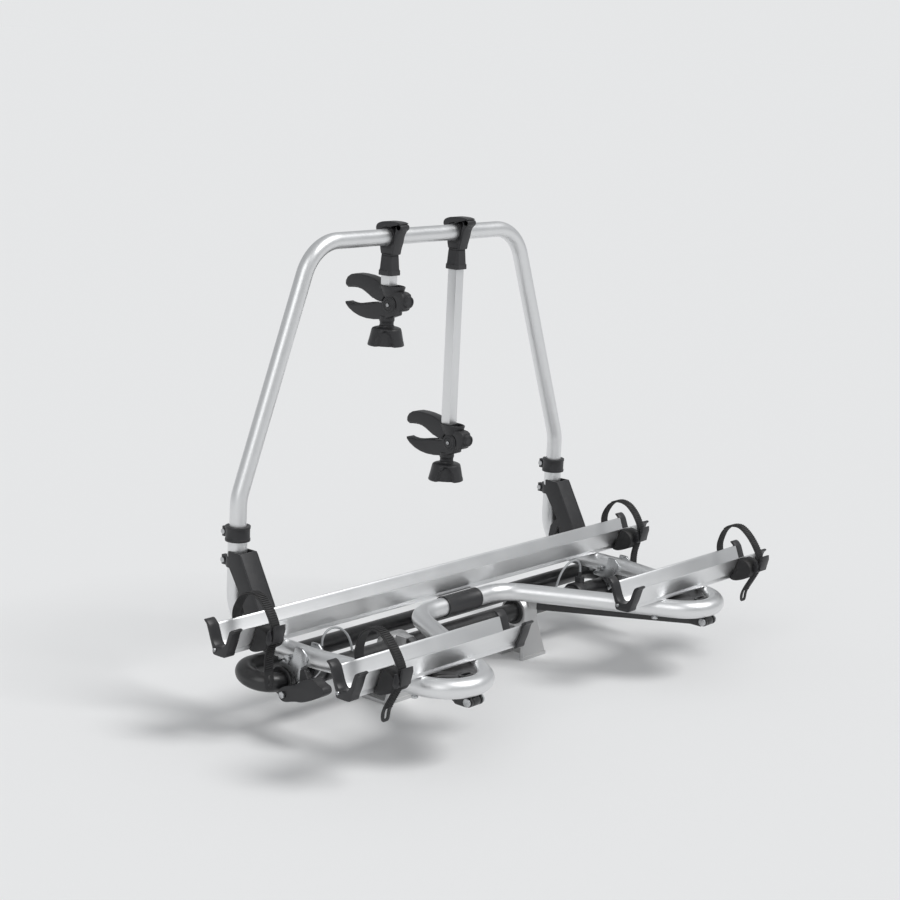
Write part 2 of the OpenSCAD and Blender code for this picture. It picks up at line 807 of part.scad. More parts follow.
module rail_bolts() {
    color(steel)
        both() {
            translate([leg_x, bolt_row, 0]) rail_bolt();
            translate([rail_bolt_out_x, bolt_row - rail_pitch, 0]) rail_bolt();
            translate([rail_bolt_in_x, bolt_row - rail_pitch, 0]) rail_bolt();
        }
}

// Straps
module belt(shares) {
    c = curve(placed(shares, strap_size, [0, rail_floor]), strap_steps);
    polygon(concat([for (i = [0 : len(c) - 1]) beside(c, i, strap_t * half)],
        [for (i = [len(c) - 1 : -1 : 0]) beside(c, i, -strap_t * half)]));
}

module strap(shares, shift) {
    last = placed(shares, strap_size, [0, rail_floor])[len(shares) - 1];
    difference() {
        translate([0, shift, 0])
            along_x(strap_x - strap_w * half, strap_w) belt(shares);
        translate([strap_x - tail_slot_w * half, shift + last[0] - tail_slot_l, last[1] + tail_slot_w])
            cube([tail_slot_w, 2 * tail_slot_l, tail_slot_l]);
    }
}

module strap_rear_right() {
    color(coal) strap(rear_strap_shares, 0);
}

module strap_rear_left() {
    color(coal) mirror([1, 0, 0]) strap(rear_strap_shares, 0);
}

module strap_front_right() {
    color(coal) strap(front_strap_shares, -rail_pitch);
}

module strap_front_left() {
    color(coal) mirror([1, 0, 0]) strap(front_strap_shares, -rail_pitch);
}

module strap_block(shares) {
    difference() {
        along_x(strap_x - base_w, base_w + strap_w * half)
            polygon(rounded(placed(block_shares, block_size, [0, rail_floor]), claw_steps));
        along_x(strap_x - strap_w * half - fit, strap_w + 2 * fit) belt(shares);
        along_x(strap_x - buckle_w * half, buckle_w) polygon(placed(buckle_shares, buckle_size, lever_pin));
        along_x(strap_x - 2 * base_w, 4 * base_w)
            translate([0, rail_floor])
                polygon(spread(rail_outer_shares, rail_w, rail_h));
    }
}

module strap_bases() {
    color(dark)
        both() {
            strap_block(rear_strap_shares);
            translate([0, -rail_pitch, 0]) strap_block(front_strap_shares);
        }
}

module buckle(shares) {
    difference() {
        along_x(strap_x - buckle_w * half, buckle_w) polygon(placed(buckle_shares, buckle_size, lever_pin));
        along_x(strap_x - strap_w * half, strap_w) belt(shares);
        along_x(strap_x - lever_w * half - cheek_gap, lever_w + 2 * cheek_gap)
            polygon(placed(lever_room_shares, lever_size, lever_pin));
    }
    rod_x(strap_x - buckle_w * half, buckle_w, lever_pin_d, lever_pin_y, lever_pin_z);
}

module buckles() {
    color(dark)
        both() {
            buckle(rear_strap_shares);
            translate([0, -rail_pitch, 0]) buckle(front_strap_shares);
        }
}

module buckle_lever(shift) {
    translate([0, shift, 0])
        difference() {
            along_x(strap_x - lever_w * half, lever_w) polygon(placed(lever_shares, lever_size, lever_pin));
            rod_x(strap_x - buckle_w, 2 * buckle_w, lever_pin_d + 2 * fit, lever_pin_y, lever_pin_z);
        }
}

module buckle_lever_rear_right() {
    color(dark) buckle_lever(0);
}

module buckle_lever_rear_left() {
    color(dark) mirror([1, 0, 0]) buckle_lever(0);
}

module buckle_lever_front_right() {
    color(dark) buckle_lever(-rail_pitch);
}

module buckle_lever_front_left() {
    color(dark) mirror([1, 0, 0]) buckle_lever(-rail_pitch);
}

// Base, each half bent round at its end and cut square in the middle
module base_half(d, spare) {
    translate([0, 0, base_z])
        rotate([base_tilt, 0, 0]) {
            rotate([0, -90, 0])
                cylinder(d = d, h = spare);
            bent_bar(base_steps, d)
                children();
        }
}

module cable_hole() {
    translate([cable_route[len(cable_route) - 1][0], 0, base_z])
        cylinder(d = cable_d + 2 * cable_hole_gap, h = base_tube_d);
}

module base_shell() {
    difference() {
        base_half(base_tube_d, 0);
        base_half(base_bore, over);
        translate([-2 * over, 0, 0])
            cube([2 * over, 2 * base_span, 2 * base_z]);
        cable_hole();
    }
}

module base_tube_left() {
    color(dark) mirror([1, 0, 0]) base_shell();
}

module base_tube_right() {
    color(dark) {
        difference() {
            base_half(base_tube_d, 0);
            intersection() {
                base_half(base_bore, 0);
                translate([spigot_l, -base_span, 0])
                    cube([base_end_x, 3 * base_span, 2 * base_z]);
            }
            translate([-2 * over, 0, 0])
                cube([2 * over, 2 * base_span, 2 * base_z]);
            cable_hole();
        }
        rod_x(-spigot_l, spigot_l + spigot_bite, base_bore - 2 * spigot_gap, 0, base_z);
        rod_x(-spigot_l, spigot_l + spigot_bite, base_bore - 2 * spigot_gap, base_leg_y, base_leg_z);
    }
}

module foot() {
    difference() {
        union() {
            rod_x(foot_x, foot_w, foot_depth, 0, base_z);
            translate([foot_x, -saddle_r, 0])
                cube([foot_w, foot_depth, base_z]);
            translate([foot_x - flange_in, -saddle_r - flange_in, 0])
                cube([flange_l, foot_depth + 2 * flange_in, flange_t]);
            translate([lug_in, -lug_front, arm_low])
                cube([foot_x + foot_w - lug_in, lug_front - lug_back, arm_high - arm_low]);
            for (y = [-saddle_r, saddle_r - rib_t])
                translate([foot_x + foot_w, y + rib_t, 0])
                    rotate([90, 0, 0])
                        linear_extrude(height = rib_t)
                            polygon([[-over, 0], [rib_l, 0], [rib_l, flange_t], [0, base_z * rib_top_share],
                                [-over, base_z * rib_top_share]]);
        }
        rod_x(foot_x - over, foot_w + 2 * over, bush_d, 0, base_z);
        translate([foot_x - flange_l, -foot_pocket_w * half, -over])
            cube([flange_l + foot_w - rib_t, foot_pocket_w, foot_pocket_z + over]);
        rod_x(foot_x - over, foot_w - rib_t + over, foot_pocket_w, 0, foot_pocket_z);
        for (y = [-1, 1])
            translate([hole_x, y * hole_gap * half, -over])
                cylinder(d = hole_d, h = flange_t + 2 * over);
    }
}

module bracket_right() {
    color(alu) foot();
}

module bracket_left() {
    color(alu) mirror([1, 0, 0]) foot();
}

module bush() {
    difference() {
        union() {
            rod_x(foot_x, foot_w, bush_d, 0, base_z);
            rod_x(foot_x - bush_lip, bush_lip, bush_lip_d, 0, base_z);
        }
        rod_x(foot_x - flange_l, 2 * flange_l, base_tube_d, 0, base_z);
    }
}

module bracket_bushes() {
    color(dark) both() bush();
}

module arm_plan() {
    polygon([[lug_in + over, -lug_front], [lug_in + over + arm_wide, -lug_front],
        [hinge_x + barrel_w * half, -arm_turn_y], [hinge_x + barrel_w * half, -hinge_y],
        [hinge_x - barrel_w * half, -hinge_y], [hinge_x - barrel_w * half, -arm_turn_y]]);
}

module base_arm() {
    difference() {
        union() {
            translate([0, 0, arm_low])
                linear_extrude(height = arm_high - arm_low)
                    arm_plan();
            rod_x(hinge_x - barrel_w * half, barrel_w, barrel_d, -hinge_y, hinge_z);
        }
        translate([hinge_x - barrel_w, -hinge_y - barrel_d, arm_low - over])
            cube([2 * barrel_w, 2 * barrel_d - barrel_d * half, hinge_z - barrel_d * half - arm_low + over]);
        rod_x(hinge_x - barrel_w, 2 * barrel_w, hinge_pin_d, -hinge_y, hinge_z);
    }
}

module base_arm_right() {
    color(dark) base_arm();
}

module base_arm_left() {
    color(dark) mirror([1, 0, 0]) base_arm();
}

module hinge_pins() {
    color(steel)
        both() {
            rod_x(hinge_x - hinge_reach, 2 * hinge_reach + over, hinge_pin_d, -hinge_y, hinge_z);
            rod_x(hinge_x + hinge_reach, head_h, hinge_head_d, -hinge_y, hinge_z);
            rod_x(hinge_x - hinge_reach - head_h, head_h, hinge_head_d, -hinge_y, hinge_z);
        }
}

module end_plate() {
    difference() {
        union() {
            rod_x(disc_x, disc_t, 2 * disc_r, 0, base_z);
            rod_x(disc_x, disc_t, 2 * ear_r, latch_y, latch_z);
            along_x(disc_x, disc_t)
                polygon([[0, base_z - disc_r], [latch_y, latch_z - ear_r], [latch_y, latch_z + ear_r],
                    [0, base_z + disc_r * half]]);
        }
        rod_x(disc_x - over, disc_t + 2 * over, base_tube_d, 0, base_z);
        rod_x(disc_x - over, disc_t + 2 * over, latch_pin_d, latch_y, latch_z);
    }
}

module end_plate_right() {
    color(dark) end_plate();
}

module end_plate_left() {
    color(dark) mirror([1, 0, 0]) end_plate();
}

module base_bolts() {
    color(steel)
        both() {
            rod_x(disc_x, latch_out - disc_x + over, latch_pin_d, latch_y, latch_z);
            translate([latch_out, latch_y, latch_z])
                rotate([0, 90, 0])
                    cylinder(d = head_d, h = head_h, $fn = 6);
            translate([disc_x - head_h, latch_y, latch_z])
                rotate([0, 90, 0])
                    cylinder(d = nut_d, h = head_h, $fn = 6);
        }
}

module latch() {
    difference() {
        union() {
            along_x(latch_in, latch_t)
                polygon(rounded(placed(latch_shares, latch_size, [latch_y, latch_z]), claw_steps));
            rod_x(latch_in, star_t, catch_arm_d, catch_y, catch_z - catch_d * half);
            rod_x(catch_x, latch_in - catch_x + over, catch_d, catch_y, catch_z);
            along_x(latch_in, star_t)
                polygon(concat([[catch_y - catch_d, catch_z], [catch_y + catch_d, catch_z]],
                    placed(catch_root_shares, latch_size, [latch_y, latch_z])));
        }
        rod_x(latch_in - over, latch_t + 2 * over, latch_pin_d + 2 * fit, latch_y, latch_z);
    }
}

module latch_lever_right() {
    color(dark) latch();
}

module latch_lever_left() {
    color(dark) mirror([1, 0, 0]) latch();
}

module cable_block() {
    difference() {
        union() {
            rod_x(stop_x, stop_w, stop_ring_d, 0, base_z);
            translate([stop_post_x, -stop_post_w * half, base_z])
                cube([stop_post_w, stop_post_w, stop_post_top - base_z]);
            translate([cable_route[0][0], 0, stop_post_top])
                cylinder(d = ferrule_d, h = ferrule_l);
        }
        translate([cable_route[0][0], 0, stop_post_top - cable_depth])
            cylinder(d = cable_d + 2 * fit, h = 2 * ferrule_l);
        rod_x(stop_x - over, stop_w + 2 * over, base_tube_d, 0, base_z);
        rod_x(stop_x + stop_w, stop_post_w, base_tube_d, 0, base_z);
    }
}

module cable_stops() {
    color(dark) both() cable_block();
}

// Round cord along a route in the X-Z plane
module cord(route, d) {
    c = curve(route, cable_steps);
    n = len(c);
    k = cable_sides;
    rings = [for (i = [0 : n - 1], j = [0 : k - 1])
        let (w = way(c, i), a = 360 * j / k)
        [c[i][0] - w[1] * cos(a) * d * half, sin(a) * d * half, c[i][1] + w[0] * cos(a) * d * half]];
    faces = concat([[for (j = [0 : k - 1]) j]],
        [for (i = [0 : n - 2], j = [0 : k - 1])
            [i * k + j, (i + 1) * k + j, (i + 1) * k + (j + 1) % k, i * k + (j + 1) % k]],
        [[for (j = [k - 1 : -1 : 0]) (n - 1) * k + j]]);
    polyhedron(points = rings, faces = faces, convexity = 6);
}

module release_cables() {
    color(alu)
        both() {
            cord(cable_route, cable_d);
        }
}

// Bike arms, in a frame on the top bar axis
module arm_liner(x) {
    translate([x, hoop_y, hoop_top_z])
        difference() {
            rod_x(-liner_w * half, liner_w, liner_d, 0, 0);
            rod_x(-liner_w, 2 * liner_w, hoop_tube_d + 2 * fit, 0, 0);
        }
}

module arm_clamp(x) {
    translate([x, hoop_y, hoop_top_z])
        difference() {
            union() {
                rod_x(-clamp_w * half, clamp_w, 2 * clamp_r, 0, 0);
                along_x(-clamp_w * half, clamp_w) polygon(clamp_strap_size * clamp_strap_shares);
                rod_x(-clamp_w * half, clamp_w, knuckle_d, wing_pin_y, wing_pin_z);
                translate([-clamp_w * half, -neck_w * half, neck_low])
                    cube([clamp_w, neck_w, neck_top - neck_low]);
                translate([0, 0, socket_low])
                    rotate([0, 0, 45])
                        cylinder(d1 = socket_low_d, d2 = socket_top_d, h = socket_top - socket_low, $fn = 4);
            }
            rod_x(-clamp_w, 2 * clamp_w, liner_d + 2 * fit, 0, 0);
            rod_x(-knuckle_room_w * half, knuckle_room_w, knuckle_d + 2 * cheek_gap, wing_pin_y, wing_pin_z);
            translate([-clamp_w, wing_seat_y, wing_seat_z])
                cube([2 * clamp_w, 3 * clamp_r, clamp_r]);
            translate([-arm_bar * half, -arm_bar * half, socket_low - over])
                cube([arm_bar, arm_bar, bar_top - socket_low + over]);
        }
    translate([x, hoop_y, hoop_top_z])
        rod_x(-clamp_w * half, clamp_w, wing_pin_d, wing_pin_y, wing_pin_z);
}

module arm_wing(x) {
    translate([x, hoop_y, hoop_top_z])
        difference() {
            union() {
                difference() {
                    along_x(-clamp_w * half, clamp_w) polygon(rounded(wing_size * wing_shares, claw_steps));
                    rod_x(-clamp_w, 2 * clamp_w, knuckle_d + 2 * cheek_gap, wing_pin_y, wing_pin_z);
                }
                rod_x(-knuckle_w * half, knuckle_w, knuckle_d, wing_pin_y, wing_pin_z);
                along_x(-knuckle_w * half, knuckle_w)
                    translate([wing_pin_y, wing_pin_z])
                        polygon([[0, 0], [knuckle_d, 0], [knuckle_d, knuckle_d * half], [0, knuckle_d * half]]);
            }
            rod_x(-clamp_w, 2 * clamp_w, wing_pin_d + 2 * fit, wing_pin_y, wing_pin_z);
        }
}

module arm_bar_tube(x, drop) {
    low = -drop + claw_bar_low;
    translate([x, hoop_y, hoop_top_z])
        difference() {
            translate([-arm_bar * half, -arm_bar * half, low])
                cube([arm_bar, arm_bar, bar_top - low]);
            translate([-arm_bar * half + tube_wall, -arm_bar * half + tube_wall, low - over])
                cube([arm_bar - 2 * tube_wall, arm_bar - 2 * tube_wall, bar_top - low + 2 * over]);
        }
}

module claw_upper(x, drop) {
    translate([x, hoop_y, hoop_top_z - drop])
        difference() {
            union() {
                difference() {
                    along_x(-claw_w * half, claw_w)
                        polygon(rounded(claw_size * upper_claw_shares, claw_steps));
                    for (s = [tongue_half, -claw_w])
                        rod_x(s, claw_w - tongue_half, claw_knuckle_d, claw_pivot_y, 0);
                    for (s = [tongue_half, -claw_w])
                        along_x(s, claw_w - tongue_half)
                            translate([0, -cheek_gap])
                                polygon(claw_size * cheek_room_shares);
                }
                rod_x(-claw_w * half, claw_w, claw_boss_d, claw_boss_y, claw_boss_z);
            }
            rod_x(-claw_w, 2 * claw_w, pivot_d, claw_pivot_y, 0);
            translate([-arm_bar * half, -arm_bar * half, claw_bar_low])
                cube([arm_bar, arm_bar, drop]);
        }
}

module claw_lower(x, drop) {
    translate([x, hoop_y, hoop_top_z - drop])
        difference() {
            along_x(-claw_w * half, claw_w) polygon(rounded(claw_size * lower_claw_shares, claw_steps));
            along_x(-tongue_half - cheek_gap, 2 * tongue_half + 2 * cheek_gap)
                polygon(claw_size * tongue_room_shares);
            rod_x(-claw_w, 2 * claw_w, pivot_d + 2 * fit, claw_pivot_y, 0);
            translate([0, knob_y, knob_top])
                cylinder(d = stud_d + 2 * fit, h = knob_stem_top - knob_top + pivot_d);
        }
}

module claw_pivot(x, drop) {
    translate([x, hoop_y, hoop_top_z - drop]) {
        rod_x(-claw_w * half - bolt_gap, claw_w + 2 * bolt_gap, pivot_d, claw_pivot_y, 0);
        for (s = [claw_w * half + bolt_gap, -claw_w * half - bolt_gap - small_head_h])
            rod_x(s, small_head_h, pivot_head_d, claw_pivot_y, 0);
    }
}

module knob(x, drop) {
    translate([x, hoop_y + knob_y, hoop_top_z - drop]) {
        translate([0, 0, knob_top])
            cylinder(d = stud_d, h = knob_stem_top - knob_top + pivot_d - over);
        translate([0, 0, knob_top - knob_neck_h * half])
            cylinder(d = knob_neck_d, h = knob_neck_h * half);
        difference() {
            translate([0, 0, knob_top - knob_h])
                union() {
                    cylinder(d1 = knob_core_low, d2 = knob_core_top, h = knob_h - knob_neck_h * half);
                    for (a = [30 : 120 : 270])
                        rotate([0, 0, a])
                            translate([lobe_r, 0, 0])
                                cylinder(d1 = lobe_low, d2 = lobe_top, h = knob_h - knob_neck_h * half);
                }
            for (a = [90 : 120 : 330])
                rotate([0, 0, a])
                    translate([lobe_r + lobe_top * half, 0, knob_top - knob_h])
                        rotate([0, 90, 0])
                            cylinder(d = lobe_low, h = lobe_low);
        }
    }
}

module short_arm_liner() {
    color(dark) arm_liner(short_arm_x);
}

module short_arm_clamp() {
    color(dark) arm_clamp(short_arm_x);
}

module short_arm_wing() {
    color(dark) arm_wing(short_arm_x);
}

module short_arm_bar() {
    color(alu) arm_bar_tube(short_arm_x, short_drop);
}

module short_claw_upper() {
    color(dark) claw_upper(short_arm_x, short_drop);
}

module short_claw_lower() {
    color(dark) claw_lower(short_arm_x, short_drop);
}

module short_claw_pivot() {
    color(steel) claw_pivot(short_arm_x, short_drop);
}

module short_claw_knob() {
    color(dark) knob(short_arm_x, short_drop);
}

module long_arm_liner() {
    color(dark) arm_liner(long_arm_x);
}

module long_arm_clamp() {
    color(dark) arm_clamp(long_arm_x);
}

module long_arm_wing() {
    color(dark) arm_wing(long_arm_x);
}

module long_arm_bar() {
    color(alu) arm_bar_tube(long_arm_x, long_drop);
}

module long_claw_upper() {
    color(dark) claw_upper(long_arm_x, long_drop);
}

module long_claw_lower() {
    color(dark) claw_lower(long_arm_x, long_drop);
}

module long_claw_pivot() {
    color(steel) claw_pivot(long_arm_x, long_drop);
}

module long_claw_knob() {
    color(dark) knob(long_arm_x, long_drop);
}

base_tube_left();
base_tube_right();
bracket_left();
bracket_right();
bracket_bushes();
base_bolts();
base_arm_left();
base_arm_right();
hinge_pins();
end_plate_left();
end_plate_right();
cable_stops();
release_cables();
latch_lever_left();
latch_lever_right();
frame_tube_left();
frame_tube_right();
center_sleeve();
collar_left();
collar_right();
brace_left();
brace_right();
frame_bolts();
striker_left();
striker_right();
gusset_left();
gusset_right();
rear_rail();
front_rail_left();
front_rail_right();
rail_caps();
rail_bolts();
hoop();
strap_bases();
buckles();
strap_rear_left();
strap_rear_right();
strap_front_left();
strap_front_right();
buckle_lever_rear_left();
buckle_lever_rear_right();
buckle_lever_front_left();
buckle_lever_front_right();
short_arm_liner();
short_arm_clamp();
short_arm_wing();
short_arm_bar();
short_claw_upper();
short_claw_lower();
short_claw_pivot();
short_claw_knob();
long_arm_liner();
long_arm_clamp();
long_arm_wing();
long_arm_bar();
long_claw_upper();
long_claw_lower();
long_claw_pivot();
long_claw_knob();
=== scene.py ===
"""Drawbar bike rack: tilting tube platform, upright hoop, wheel rails with ratchet straps and two clamp arms.

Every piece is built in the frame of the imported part, in metres, and rides one of its bodies. Outlines are
lists of (y, z) points in millimetres, unless a comment says otherwise, and mm() brings them to metres.
"""

from collections import namedtuple
from math import atan, cos, degrees, pi, radians, sin, sqrt, tan

import bmesh
import bpy
from bpy.props import FloatProperty, FloatVectorProperty, IntProperty, PointerProperty
from mathutils import Matrix, Vector


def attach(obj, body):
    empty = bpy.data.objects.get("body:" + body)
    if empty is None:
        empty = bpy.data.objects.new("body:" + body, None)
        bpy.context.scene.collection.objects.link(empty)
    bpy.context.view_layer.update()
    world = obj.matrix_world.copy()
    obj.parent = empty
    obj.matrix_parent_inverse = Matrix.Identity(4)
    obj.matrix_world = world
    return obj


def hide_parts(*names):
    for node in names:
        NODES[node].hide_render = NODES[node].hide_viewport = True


bl_info = {
    "name": "Drawbar bike rack",
    "version": (1, 0, 0),
    "blender": (4, 5, 0),
    "location": "View3D > Sidebar > Bike rack",
    "description": "Builds the visible skins, straps, arms and finishes of a tilting drawbar bike rack",
    "category": "Object",
}

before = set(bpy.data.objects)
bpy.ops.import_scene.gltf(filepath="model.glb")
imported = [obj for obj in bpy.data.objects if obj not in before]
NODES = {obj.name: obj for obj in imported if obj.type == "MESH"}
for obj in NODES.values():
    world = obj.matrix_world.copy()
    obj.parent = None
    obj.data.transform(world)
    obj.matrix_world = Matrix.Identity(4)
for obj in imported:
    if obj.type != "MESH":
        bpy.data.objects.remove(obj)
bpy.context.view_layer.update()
MM = 0.001
SIDES = ((1, "right"), (-1, "left"))
# Distances under which vertices of a new mesh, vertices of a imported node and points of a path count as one
SAME_VERT, SAME_NODE_VERT, SAME_POINT = 1e-6, 2e-5, 1e-4
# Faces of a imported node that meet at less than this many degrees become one
FLAT_ANGLE = 0.6
# Widths of rounded edges
BOLT_EDGE, STAR_EDGE, PLATE_EDGE, STOP_EDGE = 0.0005, 0.0006, 0.0008, 0.001
COVER_EDGE, CAST_EDGE, LEVER_EDGE, BRACE_EDGE = 0.0012, 0.0015, 0.002, 0.003
QUARTER_UP = Matrix.Rotation(radians(90), 4, "X")
HALF_TURN = Matrix.Rotation(pi, 4, "Z")


# Outlines and lines

def mm(points):
    return [(y * MM, z * MM) for y, z in points]


def at(outline, y, z):
    return [(y + u, z + v) for u, v in outline]


def arc(cy, cz, r, a0, a1, steps):
    """Points of an arc round (cy, cz), from angle a0 to angle a1 in degrees."""
    angles = [radians(a0 + (a1 - a0) * k / steps) for k in range(steps + 1)]
    return [(cy + r * cos(a), cz + r * sin(a)) for a in angles]


def between(a, b, c, d, t):
    """A point of the smooth curve that runs from b to c and has a and d as its neighbours."""
    return (2 * b + (c - a) * t + (2 * a - 5 * b + 4 * c - d) * t * t + (3 * b - a - 3 * c + d) * t ** 3) / 2


def eased(points, steps):
    """A smooth open line through points, in even parameter steps."""
    line = [Vector(p) for p in points]
    line = [line[0] * 2 - line[1], *line, line[-1] * 2 - line[-2]]
    out = [between(*line[i:i + 4], k / steps) for i in range(len(points) - 1) for k in range(steps)]
    return out + [line[-2]]


def fluent(points, steps):
    """A closed outline through points, without the flats between them."""
    n = len(points)
    ring = [Vector(points[i % n]) for i in range(-1, n + 2)]
    return [tuple(between(*ring[i:i + 4], k / steps)) for i in range(n) for k in range(steps)]


def laid(m, steps, fine=4.0):
    """Middle line of a bar bent from frame m in steps of (straight, turn, radius), and its end's frame."""
    points = [m.to_translation()]
    for straight, *bend in steps:
        m = m @ Matrix.Translation((straight, 0, 0))
        points.append(m.to_translation())
        if bend:
            degree, r = bend
            turn, foot = radians(degree), Vector((0, -r if degree > 0 else r, 0))
            centre = m @ Matrix.Translation(-foot)
            count = max(2, int(abs(degree) / fine))
            points += [centre @ Matrix.Rotation(turn * k / count, 4, "Z") @ foot for k in range(1, count + 1)]
            m = centre @ Matrix.Rotation(turn, 4, "Z") @ Matrix.Translation(foot)
    clean = points[:1]
    for p in points[1:]:
        if (p - clean[-1]).length > SAME_POINT:
            clean.append(p)
    return clean, m


def sided(s, line):
    """A line of the right half as it is (s = 1), or its mirror image on the left (s = -1)."""
    return [Vector((s * p.x, p.y, p.z)) for p in line]


# Meshes

def linked(name, data):
    piece = bpy.data.objects.new(name, data)
    bpy.context.scene.collection.objects.link(piece)
    return piece


def shade(mesh, angle):
    """Smooth faces, with edges kept sharp above the angle."""
    mesh.polygons.foreach_set("use_smooth", [True] * len(mesh.polygons))
    mesh.set_sharp_from_angle(angle=radians(angle))


def mesh_object(name, verts, faces, smooth=30.0):
    mesh = bpy.data.meshes.new(name)
    mesh.from_pydata([tuple(v) for v in verts], [], faces)
    mesh.validate()
    bm = bmesh.new()
    bm.from_mesh(mesh)
    bmesh.ops.remove_doubles(bm, verts=bm.verts, dist=SAME_VERT)
    bmesh.ops.recalc_face_normals(bm, faces=bm.faces)
    bm.to_mesh(mesh)
    bm.free()
    shade(mesh, smooth)
    return linked(name, mesh)


def path_object(name, points):
    mesh = bpy.data.meshes.new(name)
    mesh.from_pydata([tuple(p) for p in points], [(i, i + 1) for i in range(len(points) - 1)], [])
    return linked(name, mesh)


def bake_modifiers(piece, smooth=None):
    """What the modifiers make becomes the piece's own mesh, and the modifiers go."""
    bpy.context.view_layer.update()
    graph = bpy.context.evaluated_depsgraph_get()
    done = bpy.data.meshes.new_from_object(piece.evaluated_get(graph))
    piece.modifiers.clear()
    piece.data = done
    if smooth:
        shade(done, smooth)
    return piece


def rounded(piece, width, segments=2, angle=50.0, smooth=38.0):
    """The piece with every edge rounded that is sharper than the angle."""
    edge = piece.modifiers.new("Rounded edges", "BEVEL")
    edge.width, edge.segments = width, segments
    edge.limit_method, edge.angle_limit = "ANGLE", radians(angle)
    return bake_modifiers(piece, smooth)


def cut_out(piece, tool, smooth):
    """The piece less a second one, which is removed."""
    cut = piece.modifiers.new(tool.name, "BOOLEAN")
    cut.operation, cut.object, cut.solver = "DIFFERENCE", tool, "EXACT"
    bake_modifiers(piece, smooth)
    bpy.data.objects.remove(tool)
    return piece


def joined(name, pieces, smooth=38.0):
    mesh = bpy.data.meshes.new(name)
    bm = bmesh.new()
    for p in pieces:
        bm.from_mesh(p.data)
    bm.to_mesh(mesh)
    bm.free()
    for p in pieces:
        bpy.data.objects.remove(p)
    shade(mesh, smooth)
    return linked(name, mesh)


def set_at(piece, matrix):
    piece.data.transform(matrix)
    return piece


def ring_faces(rows, around, shut=True):
    """Faces of a skin through rows of points that each run round a closed section, with its ends shut."""
    last = (rows - 1) * around
    faces = [tuple(range(around))[::-1], tuple(range(last, last + around))] if shut else []
    for low in range(0, last, around):
        for k in range(around):
            m = (k + 1) % around
            faces.append((low + k, low + m, low + around + m, low + around + k))
    return faces


def extruded(name, outline, x0, x1, smooth=30.0):
    """An outline in metres, pulled along X."""
    verts = [(x, y, z) for x in sorted((x0, x1)) for y, z in outline]
    return mesh_object(name, verts, ring_faces(2, len(outline)), smooth)


def turned(name, profile, centre, axis="Z", sides=40):
    """A profile of (radius, height) pairs in millimetres, turned round an axis through a centre."""
    # Each spoke's coordinates go round until its height lies on the axis
    shift = "ZYX".index(axis)
    verts = []
    for r, h in mm(profile):
        for k in range(sides):
            a = 2 * pi * k / sides
            spoke = (r * cos(a), r * sin(a), h)
            verts.append(Vector(centre) + Vector(spoke[shift:] + spoke[:shift]))
    return mesh_object(name, verts, ring_faces(len(profile), sides, shut=False), 32.0)


def place(piece, body, finish, *nodes):
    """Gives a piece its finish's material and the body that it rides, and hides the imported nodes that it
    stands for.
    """
    piece.name = piece.name.replace(" ", "_")
    piece.data.materials.clear()
    piece.data.materials.append(finish.material)
    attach(piece, body)
    if nodes:
        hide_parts(*nodes)
    return piece


def softened(name, source, width, segments=2):
    """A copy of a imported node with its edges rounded."""
    bm = bmesh.new()
    bm.from_mesh(NODES[source].data)
    bmesh.ops.remove_doubles(bm, verts=bm.verts, dist=SAME_NODE_VERT)
    bmesh.ops.dissolve_limit(bm, angle_limit=radians(FLAT_ANGLE), verts=bm.verts, edges=bm.edges)
    mesh = bpy.data.meshes.new(name)
    bm.to_mesh(mesh)
    bm.free()
    return rounded(linked(name, mesh), width, segments, angle=32.0, smooth=36.0)


def dress(source, body, finish, width, segments=2, name=None):
    """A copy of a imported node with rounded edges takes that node's place."""
    return place(softened(name or source.replace("_", " "), source, width, segments), body, finish, source)


# Node trees

def feed(tree, target, inputs):
    """Fills a node's inputs, each from a value, from a socket or from the first output of another node."""
    for key, value in inputs.items():
        if isinstance(value, bpy.types.Node):
            value = value.outputs[0]
        if isinstance(value, bpy.types.NodeSocket):
            tree.links.new(value, target.inputs[key])
        else:
            target.inputs[key].default_value = value


def node(tree, kind, inputs=None, **properties):
    new = tree.nodes.new(kind)
    for key, value in properties.items():
        setattr(new, key, value)
    feed(tree, new, inputs or {})
    return new


def math_node(tree, operation, a, b):
    return node(tree, "ShaderNodeMath", {0: a, 1: b}, operation=operation)


def new_group(kind, name, inputs, outputs):
    """An empty node group with named sockets, and also what it is given and the node that it ends in."""
    group = bpy.data.node_groups.new(name, kind)
    for label, sort, *value in inputs:
        sock = group.interface.new_socket(label, in_out="INPUT", socket_type="NodeSocket" + sort)
        if value:
            sock.default_value = value[0]
    for label, sort in outputs:
        group.interface.new_socket(label, in_out="OUTPUT", socket_type="NodeSocket" + sort)
    return group, group.nodes.new("NodeGroupInput").outputs, group.nodes.new("NodeGroupOutput")


def once(store, name, make, **values):
    """What a store of Blender's data holds under a name, made if it isn't there yet."""
    return store.get(name) or make(name, **values)


def geometry_tree(name, *inputs):
    inputs = [("Geometry", "Geometry"), *inputs, ("Material", "Material")]
    return new_group("GeometryNodeTree", name, inputs, [("Geometry", "Geometry")])


def painted(tree, given, end, source):
    """Ends a tree with real geometry in the given material."""
    real = node(tree, "GeometryNodeRealizeInstances", {"Geometry": source})
    paint = node(tree, "GeometryNodeSetMaterial", {"Geometry": real, "Material": given["Material"]})
    feed(tree, end, {"Geometry": paint})
    return tree


